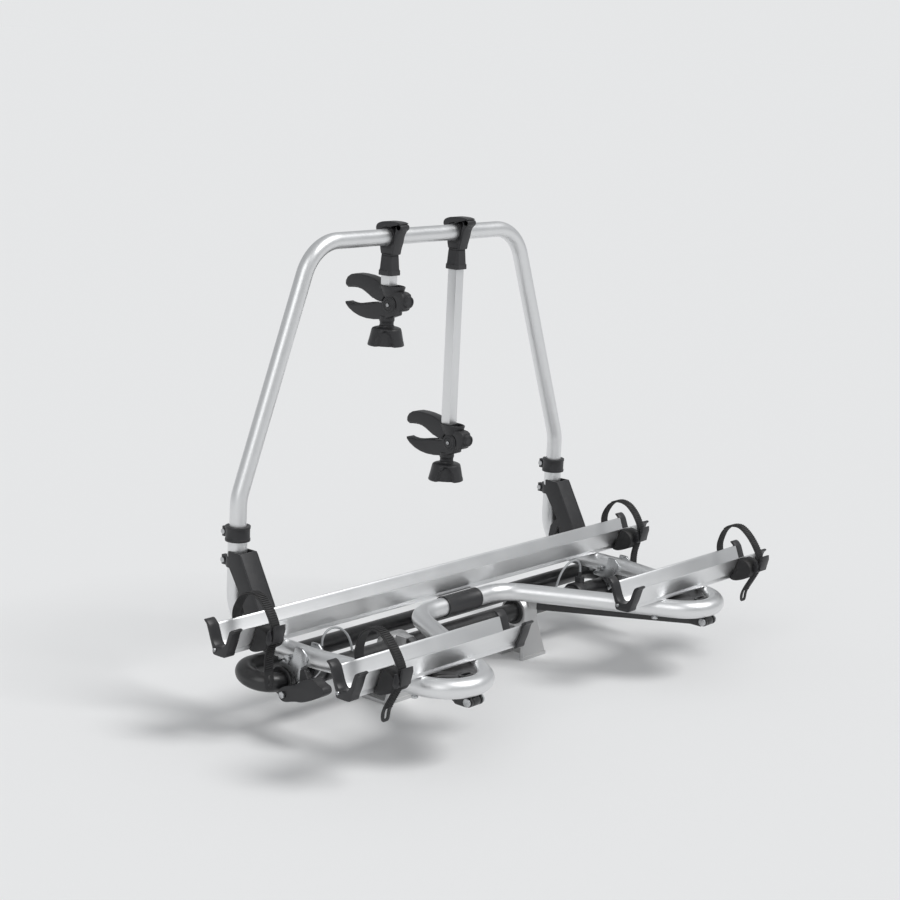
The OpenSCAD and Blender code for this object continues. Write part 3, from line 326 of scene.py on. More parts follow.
def tube_tree(name):
    """A round tube along a path of edges."""
    tree, given, end = geometry_tree(name, ("Diameter", "Float", 0.04), ("Sides", "Int", 48))
    line = node(tree, "GeometryNodeMeshToCurve", {"Mesh": given["Geometry"]})
    half = math_node(tree, "MULTIPLY", given["Diameter"], 0.5)
    ring = node(tree, "GeometryNodeCurvePrimitiveCircle", {"Resolution": given["Sides"], "Radius": half})
    skin = node(tree, "GeometryNodeCurveToMesh", {"Curve": line, "Profile Curve": ring, "Fill Caps": True})
    return painted(tree, given, end, node(tree, "GeometryNodeSetShadeSmooth", {"Geometry": skin}))


def ridge_tree(name):
    """Cross ridges at even steps along a path in a plane square to X."""
    sizes = [("Pitch", "Float", 0.005), ("Ridge Size", "Vector", (0.02, 0.0022, 0.0016))]
    tree, given, end = geometry_tree(name, *sizes)
    line = node(tree, "GeometryNodeMeshToCurve", {"Mesh": given["Geometry"]})
    even = node(tree, "GeometryNodeResampleCurve", {"Curve": line, "Length": given["Pitch"]}, mode="LENGTH")
    way = node(tree, "GeometryNodeInputTangent")
    turn = node(tree, "FunctionNodeAlignEulerToVector", {"Vector": way}, axis="Y", pivot_axis="X")
    bar = node(tree, "GeometryNodeMeshCube", {"Size": given["Ridge Size"]})
    spots = {"Points": even, "Instance": bar, "Rotation": turn}
    return painted(tree, given, end, node(tree, "GeometryNodeInstanceOnPoints", spots))


def screw_tree(name):
    """Button screws with a hexagon socket, one on each point, turned by the point's own turn attribute."""
    sizes = [("Head Diameter", "Float", 0.01), ("Head Height", "Float", 0.004)]
    tree, given, end = geometry_tree(name, *sizes)
    high = given["Head Height"]
    low_r, top_r, pit_r = (math_node(tree, "MULTIPLY", given["Head Diameter"], k) for k in (0.5, 0.42, 0.3))
    cone = {"Vertices": 28, "Radius Bottom": low_r, "Radius Top": top_r, "Depth": high}
    head = node(tree, "GeometryNodeMeshCone", cone)
    pit = node(tree, "GeometryNodeMeshCylinder", {"Vertices": 6, "Radius": pit_r, "Depth": high})
    rise = node(tree, "ShaderNodeCombineXYZ", {"Z": math_node(tree, "MULTIPLY", high, 0.95)})
    lift = node(tree, "GeometryNodeTransform", {"Geometry": pit, "Translation": rise})
    cut = node(tree, "GeometryNodeMeshBoolean", {"Mesh 1": head, "Mesh 2": lift}, operation="DIFFERENCE")
    turn = node(tree, "GeometryNodeInputNamedAttribute", {"Name": "turn"}, data_type="FLOAT_VECTOR")
    spin = node(tree, "FunctionNodeEulerToRotation", {0: turn})
    spots = {"Points": given["Geometry"], "Instance": cut, "Rotation": spin}
    return painted(tree, given, end, node(tree, "GeometryNodeInstanceOnPoints", spots))


def run_tree(piece, name, make, smooth=None, **values):
    """Runs a geometry tree on a piece, with its inputs set by their identifiers, and bakes what it makes."""
    tree = once(bpy.data.node_groups, name, make)
    live = piece.modifiers.new(name, "NODES")
    live.node_group = tree
    for item in tree.interface.items_tree:
        key = item.name.replace(" ", "_")
        if item.item_type == "SOCKET" and item.in_out == "INPUT" and key in values:
            live[item.identifier] = values[key]
    return bake_modifiers(piece, smooth)


def tube(name, line, diameter, sides, finish):
    values = {"Diameter": diameter, "Sides": sides, "Material": finish.material}
    return run_tree(path_object(name, line), "Tube along path", tube_tree, **values)


def ridges(name, line, pitch, size, finish):
    values = {"Pitch": pitch, "Ridge_Size": size, "Material": finish.material}
    return run_tree(path_object(name, line), "Ridges along strap", ridge_tree, 30.0, **values)


def screws(name, spots, head, height, body, *nodes):
    """Screw heads at spots of (x, y, z, turn about x, turn about y), with the turns in degrees."""
    mesh = bpy.data.meshes.new(name)
    mesh.from_pydata([s[:3] for s in spots], [], [])
    turn = mesh.attributes.new("turn", "FLOAT_VECTOR", "POINT")
    turn.data.foreach_set("vector", [v for s in spots for v in (radians(s[3]), radians(s[4]), 0.0)])
    steel = zinc_steel()
    values = {"Head_Diameter": head, "Head_Height": height, "Material": steel.material}
    heads = run_tree(linked(name, mesh), "Screws on points", screw_tree, 30.0, **values)
    return place(heads, body, steel, *nodes)


# Finishes

Finish = namedtuple("Finish", "material slot")


def noise(tree, where, scale, detail, rough):
    inputs = {"Vector": where, "Scale": scale, "Detail": detail, "Roughness": rough}
    return node(tree, "ShaderNodeTexNoise", inputs)


def spread(tree, source, low, high, to_low=0.0, to_high=1.0):
    """Maps low and high of a value to a new low and high."""
    inputs = {"Value": source, "From Min": low, "From Max": high, "To Min": to_low, "To Max": to_high}
    return node(tree, "ShaderNodeMapRange", inputs)


def grain_group(name):
    """Moulded or cast grain: a height, and a value that varies slowly over the surface."""
    inputs = [("Fine Scale", "Float"), ("Broad Scale", "Float"), ("Low", "Float"), ("High", "Float")]
    tree, given, end = new_group("ShaderNodeTree", name, inputs, [("Height", "Float"), ("Value", "Float")])
    where = node(tree, "ShaderNodeTexCoord").outputs["Object"]
    fine = noise(tree, where, given["Fine Scale"], 3.0, 0.6)
    broad = noise(tree, where, given["Broad Scale"], 4.0, 0.55)
    feed(tree, end, {"Height": fine, "Value": spread(tree, broad, 0.3, 0.7, given["Low"], given["High"])})
    return tree


def drawn_group(name):
    """Fine lines along a drawn or extruded profile, with slow patches in the anodising."""
    inputs = [("Stretch", "Vector"), ("Low", "Float"), ("High", "Float")]
    outputs = [("Height", "Float"), ("Value", "Float"), ("Patches", "Float")]
    tree, given, end = new_group("ShaderNodeTree", name, inputs, outputs)
    where = node(tree, "ShaderNodeTexCoord").outputs["Object"]
    pull = node(tree, "ShaderNodeVectorMath", {0: where, 1: given["Stretch"]}, operation="MULTIPLY")
    lines = noise(tree, pull, 1.0, 2.0, 0.5)
    patches = noise(tree, where, 9.0, 5.0, 0.6)
    value = spread(tree, math_node(tree, "ADD", lines, patches), 0.7, 1.3, given["Low"], given["High"])
    feed(tree, end, {"Height": lines, "Value": value, "Patches": patches})
    return tree


def dust_group(name):
    """A light film of dust that lies on what faces up."""
    inputs = [("Color", "Color"), ("Dust", "Color", (0.3, 0.28, 0.26, 1)), ("Amount", "Float")]
    tree, given, end = new_group("ShaderNodeTree", name, inputs, [("Color", "Color")])
    parts = node(tree, "ShaderNodeSeparateXYZ", {0: node(tree, "ShaderNodeNewGeometry").outputs["Normal"]})
    up = spread(tree, parts.outputs["Z"], 0.2, 1.0)
    where = node(tree, "ShaderNodeTexCoord").outputs["Object"]
    spots = spread(tree, noise(tree, where, 60.0, 6.0, 0.7), 0.42, 0.72)
    share = math_node(tree, "MULTIPLY", math_node(tree, "MULTIPLY", up, spots), given["Amount"])
    mix = node(tree, "ShaderNodeMix", {0: share, 6: given["Color"], 7: given["Dust"]}, data_type="RGBA")
    feed(tree, end, {"Color": mix.outputs[2]})
    return tree


def new_finish(name):
    mat = bpy.data.materials.new(name)
    mat.use_nodes = True
    return mat, mat.node_tree, mat.node_tree.nodes["Principled BSDF"]


def group_in(tree, name, make, inputs):
    """The outputs of a shader group that a tree uses."""
    return node(tree, "ShaderNodeGroup", inputs, node_tree=once(bpy.data.node_groups, name, make)).outputs


def tinted(tree, source, color, low, high):
    """A colour that runs from low to high times its own brightness with a value."""
    dark, bright = ((*[c * k for c in color], 1) for k in (low, high))
    return node(tree, "ShaderNodeMix", {0: source, 6: dark, 7: bright}, data_type="RGBA").outputs[2]


def relief(tree, height, strength, distance):
    return node(tree, "ShaderNodeBump", {"Height": height, "Strength": strength, "Distance": distance})


def lined_metal(name, color, stretch):
    mat, tree, shader = new_finish(name)
    lines = group_in(tree, "Drawn lines", drawn_group, {"Stretch": stretch, "Low": 0.36, "High": 0.47})
    feed(tree, shader, {
        "Base Color": tinted(tree, lines["Patches"], color, 0.94, 1.04), "Metallic": 1.0,
        "Roughness": lines["Value"], "Normal": relief(tree, lines["Height"], 0.12, 0.00006)})
    return mat


def grained(tree, fine, broad, low, high):
    inputs = {"Fine Scale": fine, "Broad Scale": broad, "Low": low, "High": high}
    return group_in(tree, "Surface grain", grain_group, inputs)


def grained_metal(name, color, tints, grain, bump):
    mat, tree, shader = new_finish(name)
    spots = grained(tree, *grain)
    feed(tree, shader, {
        "Base Color": tinted(tree, spots["Value"], color, *tints), "Metallic": 1.0,
        "Roughness": spots["Value"], "Normal": relief(tree, spots["Height"], *bump)})
    return mat


def dark_finish(name, color, grain, bump, dust, coat=0.0):
    """A dark surface with grain and dust, under a clear coat if it has one."""
    mat, tree, shader = new_finish(name)
    spots = grained(tree, *grain)
    under = tinted(tree, spots["Height"], color, 0.8, 1.25)
    film = group_in(tree, "Settled dust", dust_group, {"Color": under, "Amount": dust})
    feed(tree, shader, {
        "Base Color": film["Color"], "Coat Weight": coat, "Coat Roughness": 0.25,
        "Roughness": spots["Value"], "Normal": relief(tree, spots["Height"], *bump)})
    return mat


def made_finish(name, slot, setting, make, **values):
    """A material in one of the colours of the settings, with the slot that it goes by."""
    color = tuple(getattr(bpy.context.scene.rack_finish, setting))
    return Finish(once(bpy.data.materials, name, make, color=color, **values), slot)


def drawn_aluminium(way):
    """Drawn lines run along the axis X, Y or Z, and a bent tube has none (N)."""
    stretch = [160.0] * 3 if way == "N" else [5.0 if axis == way else 700.0 for axis in "XYZ"]
    return made_finish("Anodised aluminium " + way, "anodised", "anodised", lined_metal, stretch=stretch)


# Grain is (fine scale, broad scale, lowest and highest roughness) and bump is (strength, distance)

def cast_alloy():
    return made_finish("Cast alloy", "cast_alloy", "casting", grained_metal,
                       tints=(0.8, 1.25), grain=(420.0, 22.0, 0.42, 0.56), bump=(0.3, 0.0003))


def zinc_steel():
    return made_finish("Zinc plated steel", "steel", "steel", grained_metal,
                       tints=(0.7, 1.3), grain=(700.0, 45.0, 0.22, 0.36), bump=(0.12, 0.0001))


def moulded_black():
    return made_finish("Moulded black plastic", "black_plastic", "plastic", dark_finish,
                       grain=(1100.0, 16.0, 0.36, 0.5), bump=(0.22, 0.00018), dust=0.10)


def painted_black():
    return made_finish("Black powder coat", "black_paint", "paint", dark_finish,
                       grain=(600.0, 16.0, 0.3, 0.42), bump=(0.25, 0.00022), dust=0.12, coat=0.25)


def black_rubber():
    return made_finish("Black rubber", "black_rubber", "rubber", dark_finish,
                       grain=(800.0, 16.0, 0.6, 0.78), bump=(0.3, 0.0002), dust=0.16)


def grey_sheath():
    return made_finish("Grey cable sheath", "grey_plastic", "sheath", dark_finish,
                       grain=(500.0, 16.0, 0.35, 0.5), bump=(0.1, 0.0001), dust=0.05)


# Settings

COLOR = {"subtype": "COLOR", "size": 3, "min": 0, "max": 1}
TUBE = {"unit": "LENGTH", "min": 0.025, "max": 0.05}


class RackFinish(bpy.types.PropertyGroup):
    anodised: FloatVectorProperty(
        name="Anodised", description="Colour of tubes, rails and bars", default=(0.80, 0.805, 0.81), **COLOR)
    casting: FloatVectorProperty(
        name="Casting", description="Colour of the cast feet", default=(0.60, 0.60, 0.60), **COLOR)
    steel: FloatVectorProperty(
        name="Steel", description="Colour of bolts and star plates", default=(0.60, 0.61, 0.62), **COLOR)
    plastic: FloatVectorProperty(
        name="Plastic", description="Colour of moulded black parts", default=(0.022, 0.022, 0.024), **COLOR)
    paint: FloatVectorProperty(
        name="Paint", description="Colour of coated black parts", default=(0.018, 0.018, 0.019), **COLOR)
    rubber: FloatVectorProperty(
        name="Rubber", description="Colour of straps and bushes", default=(0.02, 0.02, 0.021), **COLOR)
    sheath: FloatVectorProperty(
        name="Sheath", description="Colour of the release cables", default=(0.36, 0.37, 0.38), **COLOR)


class RackTubes(bpy.types.PropertyGroup):
    frame_diameter: FloatProperty(
        name="Frame tube", description="Outside diameter of the lower frame tubes", default=0.04, **TUBE)
    hoop_diameter: FloatProperty(
        name="Hoop tube", description="Outside diameter of the upright hoop", default=0.035, **TUBE)
    base_diameter: FloatProperty(
        name="Base tube", description="Outside diameter of the black base tube", default=0.04, **TUBE)
    sides: IntProperty(name="Sides", description="Sides of each round tube", min=12, max=96, default=56)


class RackStraps(bpy.types.PropertyGroup):
    pitch: FloatProperty(
        name="Ridge pitch", description="Step of the ridges along a strap", unit="LENGTH", min=0.003,
        max=0.012, default=0.0046)
    ridge: FloatVectorProperty(
        name="Ridge size", description="Width, length and height of one ridge", subtype="XYZ", size=3,
        default=(0.0205, 0.0024, 0.0034))
    rise: FloatProperty(
        name="Ridge rise", description="Distance of the ridges outside the strap's middle", unit="LENGTH",
        min=0.0, max=0.004, default=0.0016)


class RackArms(bpy.types.PropertyGroup):
    short_x: FloatProperty(
        name="Short arm", description="Its place along the top bar", unit="LENGTH", default=-0.093)
    long_x: FloatProperty(
        name="Long arm", description="Its place along the top bar", unit="LENGTH", default=0.124)
    short_drop: FloatProperty(
        name="Short drop", description="From the top bar to the claw's pivot", unit="LENGTH", default=0.144)
    long_drop: FloatProperty(
        name="Long drop", description="From the top bar to the claw's pivot", unit="LENGTH", default=0.473)


class RackStage(bpy.types.PropertyGroup):
    floor_color: FloatVectorProperty(
        name="Floor", description="Colour of the floor", default=(0.84, 0.84, 0.84), **COLOR)
    backdrop: FloatVectorProperty(
        name="Backdrop", description="Colour behind the floor", default=(0.787, 0.795, 0.803), **COLOR)
    ambient: FloatProperty(
        name="Ambient", description="Strength of the even light", min=0.0, max=1.0, default=0.48)
    floor_size: FloatProperty(
        name="Floor size", description="Half width of the floor", unit="LENGTH", min=2.0, max=200.0,
        default=90.0)


# Tubes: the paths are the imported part's own bends, each named by its size in degrees and made of 3-4-5 angles

UNIT = degrees(atan(3 / 4))
TURN_4 = 5 * UNIT - 180
TURN_21 = 3 * UNIT - 90
TURN_41 = 6 * UNIT - 180
TURN_69 = 180 - 3 * UNIT
TURN_74 = 2 * UNIT
CROSS_Y, FRAME_Z, SEAM_Y = 0.004, 0.166, -0.040
LEG_X, LEG_TOP = 0.516, 0.384
HOOP_Y, CORNER_X, TOP_Z = 0.165, 0.324, 0.957
BASE_Z, BASE_LEAN = 0.108, 8


def set_back(r, turn):
    """Distance from a bend's corner to where the straight ends."""
    return r * tan(radians(turn) / 2)


def frame_path():
    """Right half of the lower frame: cross part, inner leg, front loop, outer leg and upright."""
    corner, leg, inner_r, front_r, soft_r, upright_r = 0.144, 0.452, 0.09, 0.08, 0.2, 0.09
    turn = TURN_41 + TURN_21
    nose, lean = radians(TURN_74 - turn), radians(2 * TURN_4)
    cut, soft = set_back(inner_r, turn), set_back(soft_r, 2 * TURN_4)
    f_in, f_out = set_back(front_r, TURN_74), set_back(front_r, TURN_69)
    outer_x = corner + leg * cos(radians(turn)) + (f_in + f_out) * cos(nose)
    outer = (LEG_X - outer_x) / sin(lean)
    soft_y = CROSS_Y - leg * sin(radians(turn)) + (f_in + f_out) * sin(nose) + outer * cos(lean)
    steps = [(corner - cut, -TURN_41, inner_r), (0, -TURN_21, inner_r),
             (leg - cut - f_in, TURN_74, front_r), (0, TURN_69, front_r),
             (outer - f_out - soft, TURN_4, soft_r), (0, TURN_4, soft_r), (SEAM_Y - soft_y - soft,)]
    flat, m = laid(Matrix.Translation((0, CROSS_Y, FRAME_Z)), steps)
    steps = [(HOOP_Y - SEAM_Y - upright_r, 90, upright_r), (LEG_TOP - FRAME_Z - upright_r,)]
    rise, _ = laid(m @ QUARTER_UP, steps)
    return flat + rise[1:]


def hoop_path():
    """The whole hoop, from one collar over the top bar to the other."""
    r, seat = 0.1, 0.02
    knee = TOP_Z - (LEG_X - CORNER_X) * tan(radians(TURN_69))
    slope = (LEG_X - CORNER_X) / cos(radians(TURN_69))
    top, low = set_back(r, TURN_69), set_back(r, TURN_21)
    steps = [(CORNER_X - top, -TURN_69, r), (slope - top - low, -TURN_21, r), (knee - low - LEG_TOP + seat,)]
    half, _ = laid(Matrix.Translation((0, HOOP_Y, TOP_Z)) @ QUARTER_UP, steps, 3.0)
    return sided(-1, half[:0:-1]) + half


def base_path():
    """Right half of the base tube: out, round its U bend and back."""
    reach, r, span = 0.586, 0.042, 0.086
    m = Matrix.Translation((0, 0, BASE_Z)) @ Matrix.Rotation(radians(BASE_LEAN), 4, "X")
    return laid(m, [(reach - r, 90, r), (span - 2 * r, 90, r), (reach - r,)])[0]


class RACK_OT_tubes(bpy.types.Operator):
    """Frame tubes, hoop and base tube, swept along their bends"""
    bl_idname = "rack.tubes"
    bl_label = "Tubes"

    def execute(self, context):
        sizes = context.scene.rack_tubes
        alu, paint = drawn_aluminium("N"), painted_black()
        for s, side in SIDES:
            line = sided(s, frame_path())
            run = tube("frame tube " + side, line, sizes.frame_diameter, sizes.sides, alu)
            place(run, "platform", alu, "frame_tube_" + side)
            line = sided(s, base_path())
            run = tube("base tube " + side, line, sizes.base_diameter, sizes.sides, paint)
            place(run, "base", paint, "base_tube_" + side)
        place(tube("hoop tube", hoop_path(), sizes.hoop_diameter, sizes.sides, alu), "platform", alu, "hoop")
        return {"FINISHED"}


# Platform

BEAD_LINE = [(130.5, 336), (116, 310), (95, 273), (76, 239)]
BEAD_X, BEAD_D, BEAD_SIDES = 0.0222, 0.0030, 16


def brace(s, side, black):
    """A cover brace with a bead along both edges of its face."""
    parts = [softened("brace " + side, "brace_" + side, BRACE_EDGE, 3)]
    for off in (-BEAD_X, BEAD_X):
        line = eased([(s * LEG_X + off, y, z) for y, z in mm(BEAD_LINE)], 4)
        parts.append(tube("brace bead", line, BEAD_D, BEAD_SIDES, black))
    return joined("brace " + side, parts, 36)


class RACK_OT_platform(bpy.types.Operator):
    """Sleeve, collars, braces, gussets, star plates and bolts"""
    bl_idname = "rack.platform"
    bl_label = "Platform fittings"

    def execute(self, context):
        black, paint, steel = moulded_black(), painted_black(), zinc_steel()
        dress("center_sleeve", "platform", black, PLATE_EDGE, name="centre sleeve")
        for s, side in SIDES:
            dress("collar_" + side, "platform", black, COVER_EDGE)
            place(brace(s, side, black), "platform", black, "brace_" + side)
            dress("gusset_" + side, "platform", paint, PLATE_EDGE)
            dress("striker_" + side, "platform", steel, STAR_EDGE, name="star plate " + side)
        dress("frame_bolts", "platform", steel, BOLT_EDGE)
        dress("rail_bolts", "platform", steel, BOLT_EDGE)
        return {"FINISHED"}


# Rails: the section is in parts of its width and height

RAIL_HALF, FRONT_RAIL_X, RAIL_PITCH = 0.66, 0.2030, 0.337
RAIL_W, RAIL_H, RAIL_Z, RAIL_FLOOR = 0.063, 0.054, 0.186, 0.2
RAIL_OUTER = [(0, 0.926), (0.02, 0.87), (0.17, 0.36), (0.27, 0.16), (0.25, 0.07), (0.25, 0), (0.7, 0),
              (0.7, 0.07), (0.68, 0.16), (0.78, 0.36), (0.96, 0.93), (1, 1)]
RAIL_INNER = [(0.955, 1), (0.92, 0.93), (0.74, 0.39), (0.61, RAIL_FLOOR), (0.34, RAIL_FLOOR), (0.21, 0.39),
              (0.06, 0.88), (0.045, 0.926)]
CAP = [(-8, 57), (-10, 55), (-7.4, 51.6), (-3.8, 47), (3.2, 24), (9.4, 8.5), (11, 1), (14, -2.6), (20, -3.8),
       (42, -3.8), (47.5, -2.4), (50, 3), (50.4, 9), (57, 25), (66.5, 49), (70, 55), (75.6, 59.6),
       (74.6, 62.2), (69, 61), (63.6, 56.4), (59, 50), (50.2, 28.5), (45.2, 20), (39.5, 14.8), (31, 13.6),
       (22.5, 14.8), (16.8, 20), (11.6, 28.5), (3.8, 50), (0, 54.4), (-4, 57)]
CAP_TONGUE = [(23, 0), (37, 0), (36, 3), (24, 3)]
CAP_DEEP, TONGUE_OUT, TONGUE_IN, RAIL_EDGE, TONGUE_EDGE = 0.024, 0.004, 0.020, 0.0009, 0.0006
RIVET_OUT, RIVET_Y, RIVET_Z, RIVET_D, RIVET_H = 0.0245, 0.0430, 0.1930, 0.0080, 0.0022


def rail_cap(x, inward, y):
    """A moulded band over the end of a rail, its tips curled outward, with a tongue on the trough's floor."""
    band = extruded("cap band", at(fluent(mm(CAP), 3), y, RAIL_Z), x, x - inward * CAP_DEEP)
    floor = at(mm(CAP_TONGUE), y, RAIL_Z + RAIL_H * RAIL_FLOOR)
    tongue = extruded("cap tongue", floor, x - inward * TONGUE_OUT, x + inward * TONGUE_IN)
    return joined("cap", [rounded(band, RAIL_EDGE), rounded(tongue, TONGUE_EDGE, angle=40.0, smooth=30.0)])


class RACK_OT_rails(bpy.types.Operator):
    """Wheel rails, their end caps and the caps' rivets"""
    bl_idname = "rack.rails"
    bl_label = "Rails"

    def execute(self, context):
        alu = drawn_aluminium("X")
        section = [(u * RAIL_W, v * RAIL_H) for u, v in RAIL_OUTER + RAIL_INNER]
        ends = [(-RAIL_HALF, 1, 0.0), (RAIL_HALF, -1, 0.0)]
        rails = [("rear_rail", -RAIL_HALF, RAIL_HALF, 0.0)]
        for s, side in SIDES:
            rails.append(("front_rail_" + side, s * FRONT_RAIL_X, s * RAIL_HALF, -RAIL_PITCH))
            ends += [(s * RAIL_HALF, -s, -RAIL_PITCH), (s * FRONT_RAIL_X, s, -RAIL_PITCH)]
        for source, x0, x1, y in rails:
            rail = extruded(source.replace("_", " "), at(section, y, RAIL_Z), x0, x1, 26.0)
            place(rounded(rail, RAIL_EDGE, angle=40.0, smooth=26.0), "platform", alu, source)
        place(joined("rail caps", [rail_cap(*end) for end in ends]), "platform", moulded_black(), "rail_caps")
        rivets = [(x - inward * RIVET_OUT, y + RIVET_Y, RIVET_Z, 0, -90 * inward) for x, inward, y in ends]
        screws("cap rivets", rivets, RIVET_D, RIVET_H, "platform")
        return {"FINISHED"}


# Base

class RACK_OT_base(bpy.types.Operator):
    """Cast feet, bushes, base arms, end plates, latch levers, cable stops, bolts and hinge pins"""
    bl_idname = "rack.base"
    bl_label = "Base fittings"

    def execute(self, context):
        cast, paint, black, steel = cast_alloy(), painted_black(), moulded_black(), zinc_steel()
        for _, side in SIDES:
            dress("bracket_" + side, "base", cast, CAST_EDGE, name="cast foot " + side)
            dress("base_arm_" + side, "base", paint, CAST_EDGE)
            dress("end_plate_" + side, "base", paint, STOP_EDGE)
            dress("latch_lever_" + side, "latch_" + side, black, LEVER_EDGE, 3)
        dress("bracket_bushes", "base", black_rubber(), PLATE_EDGE)
        dress("cable_stops", "base", black, STOP_EDGE)
        dress("base_bolts", "base", steel, BOLT_EDGE)
        dress("hinge_pins", "base", steel, BOLT_EDGE)
        return {"FINISHED"}


# Cables: the right cable's route, as (x, z)

CABLE_ROUTE = [(430, 142), (430, 150), (430, 160), (428, 174), (417, 186), (400, 190), (378, 184), (358, 168),
               (346, 148), (341, 132), (340, 122)]
CABLE_D, CABLE_LENGTH, CABLE_SIDES = 0.005, 0.1654, 20


class RACK_OT_cables(bpy.types.Operator):
    """Release cables along their route"""
    bl_idname = "rack.cables"
    bl_label = "Release cables"

    def execute(self, context):
        grey = grey_sheath()
        for s, side in SIDES:
            line = eased([(s * x, 0.0, z) for x, z in mm(CABLE_ROUTE)], 6)
            cable = tube("cable " + side, line, CABLE_D, CABLE_SIDES, grey)
            place(cable, "base", grey, "release_cables")
        return {"FINISHED"}


# Straps: the belts' middle lines, from the buckle to the tail

REAR_STRAP = [(57, 207), (63, 226), (67, 246), (62, 266), (46, 288), (22, 298), (-2, 294), (-22, 278),
              (-36, 258), (-43, 240), (-40, 222), (-33, 200), (-28, 180), (-27, 158), (-29, 136), (-32, 112)]
FRONT_STRAP = [(57, 207), (63, 226), (68, 246), (66, 264), (56, 288), (38, 302), (14, 304), (-10, 288),
               (-30, 264), (-41, 242), (-40, 222), (-32, 202), (-22, 184), (-12, 166), (-6, 150), (-5, 132)]
STRAP_X, STRAP_W, STRAP_T = 0.605, 0.025, 0.003
RIM_SIDE, RIM_EDGE, RIM_MIDDLE = 0.4, 0.001, 0.0045
TAIL_STEPS, TAIL_WIDTH = 7, 0.52
SLOT_R, SLOT_LOW, SLOT_HIGH, SLOT_REACH = 0.0042, 0.0090, 0.0255, 0.03
RIDGED = slice(34, -14)


def beside(line, i, off):
    """The point i of a line in a plane square to X, moved off to its side."""
    d = (line[min(i + 1, len(line) - 1)] - line[max(i - 1, 0)]).normalized()
    return line[i] + Vector((0, -d.z, d.y)) * off


def strap_body(line, x):
    """A flat belt with soft edges, a narrow round tail and a slot in it."""
    half, t = STRAP_W / 2, STRAP_T / 2
    rim = [(-half, t * RIM_SIDE), (-half + RIM_EDGE, t), (-RIM_MIDDLE, t)]
    rim += [(-u, w) for u, w in reversed(rim)]
    rim += [(-u, -w) for u, w in rim]
    verts = []
    for i in range(len(line)):
        past = max(0.0, 1 - (len(line) - 1 - i) / TAIL_STEPS)
        slim = TAIL_WIDTH + (1 - TAIL_WIDTH) * sqrt(1 - past ** 2)
        for u, w in rim:
            p = beside(line, i, w)
            verts.append((x + u * slim, p.y, p.z))
    belt = mesh_object("strap belt", verts, ring_faces(len(line), len(rim)), 40)
    tail = line[-1]
    pill = arc(x, tail.z + SLOT_HIGH, SLOT_R, 0, 180, 10) + arc(x, tail.z + SLOT_LOW, SLOT_R, 180, 360, 10)
    ends = [(px, tail.y + off, pz) for off in (-SLOT_REACH, SLOT_REACH) for px, pz in pill]
    return cut_out(belt, mesh_object("tail slot", ends, ring_faces(2, len(pill))), 40)


class RACK_OT_straps(bpy.types.Operator):
    """Ridged wheel straps, their blocks, buckles and levers"""
    bl_idname = "rack.straps"
    bl_label = "Straps"

    def execute(self, context):
        sizes = context.scene.rack_straps
        rubber, black = black_rubber(), moulded_black()
        for s, side in SIDES:
            for row, route, dy in (("rear", REAR_STRAP, 0.0), ("front", FRONT_STRAP, -RAIL_PITCH)):
                line = eased([(0.0, y + dy, z) for y, z in mm(route)], 8)
                belt = strap_body(line, s * STRAP_X)
                across = Vector((s * STRAP_X, 0, 0))
                outside = [beside(line, i, -sizes.rise) + across for i in range(len(line))][RIDGED]
                ribbed = ridges("strap ridges", outside, sizes.pitch, tuple(sizes.ridge), rubber)
                belt = joined(f"strap {row} {side}", [belt, ribbed], 35)
                place(belt, "platform", rubber, f"strap_{row}_{side}")
                dress(f"buckle_lever_{row}_{side}", f"lever_{row}_{side}", black, PLATE_EDGE)
        dress("strap_bases", "platform", rubber, COVER_EDGE, name="strap blocks")
        dress("buckles", "platform", black, PLATE_EDGE, name="strap buckles")
        return {"FINISHED"}


# Arms: clamp outlines are measured from the top bar's middle, jaw outlines from the hoop's plane at the claw

CLAMP_WIDTH, JAW_HALF, TONGUE_HALF, ROOM_HALF = 0.027, 0.0142, 0.0085, 0.0093
RING_OUT, RING_IN, PIVOT_Y, WEB_HALF = 0.0232, 0.0205, -0.014, 0.0068
UPPER_DISC, LOWER_DISC, ROOM_DISC = 0.0215, 0.0198, 0.0190
RING_FROM, RING_TO, FULL_TURN = 118, 396, 360
JAW_EDGE, CORE_EDGE = 0.0042, 0.001
RING_EDGE, STRAP_EDGE, NECK_EDGE, WING_EDGE = 0.0008, 0.0016, 0.0015, 0.0024
LINER = [(18, -15), (20.4, -15), (20.4, 15), (18, 15), (18, -15)]
CLAMP_STRAP = [(-41, 20), (-40, 27), (-34, 29.5), (-28, 27), (-24.5, 16), (-22.5, 6), (-21.5, -6), (-19, -16),
               (-14, -26), (-15.5, -36), (-19, -36), (-21, -26), (-26, -10), (-29, 4), (-34, 13)]
CLAMP_NECK = [(-15, -36), (-17, -26), (-21, -12), (-14, -17), (0, -21.5), (14, -17), (20, -10), (17.5, -26),
              (15, -36)]
WING = [(-37.5, 30.2), (-31, 33.2), (-18, 34.2), (-2, 34), (12, 32.4), (23, 29), (29.5, 24.4), (31.6, 18.5),
        (30.2, 13.2), (26, 10.6), (22.4, 11.4), (20.8, 14), (17.4, 15.6), (12.5, 18.4), (6, 21.2), (0, 22),
        (-6, 21.7), (-9.4, 20.8), (-12, 22.6), (-16.5, 23.8), (-24.5, 25.2)]
WING_WEB = [(-34, 24), (-22, 25.6), (-22, 29), (-34, 29)]
UPPER_JAW = [(-55.5, 20), (-53, 26), (-46, 29.5), (-34, 31), (-20, 32), (-6, 34), (4, 38.5), (14, 44.5),
             (24, 49), (38, 53.5), (54, 56), (72, 57), (88, 56.5), (101, 53.5), (111, 47), (116, 38.5),
             (116.5, 30), (112, 26), (101, 27.5), (86, 28.5), (71, 26.5), (55, 20), (39, 11.5), (23, 6),
             (10, 4)]
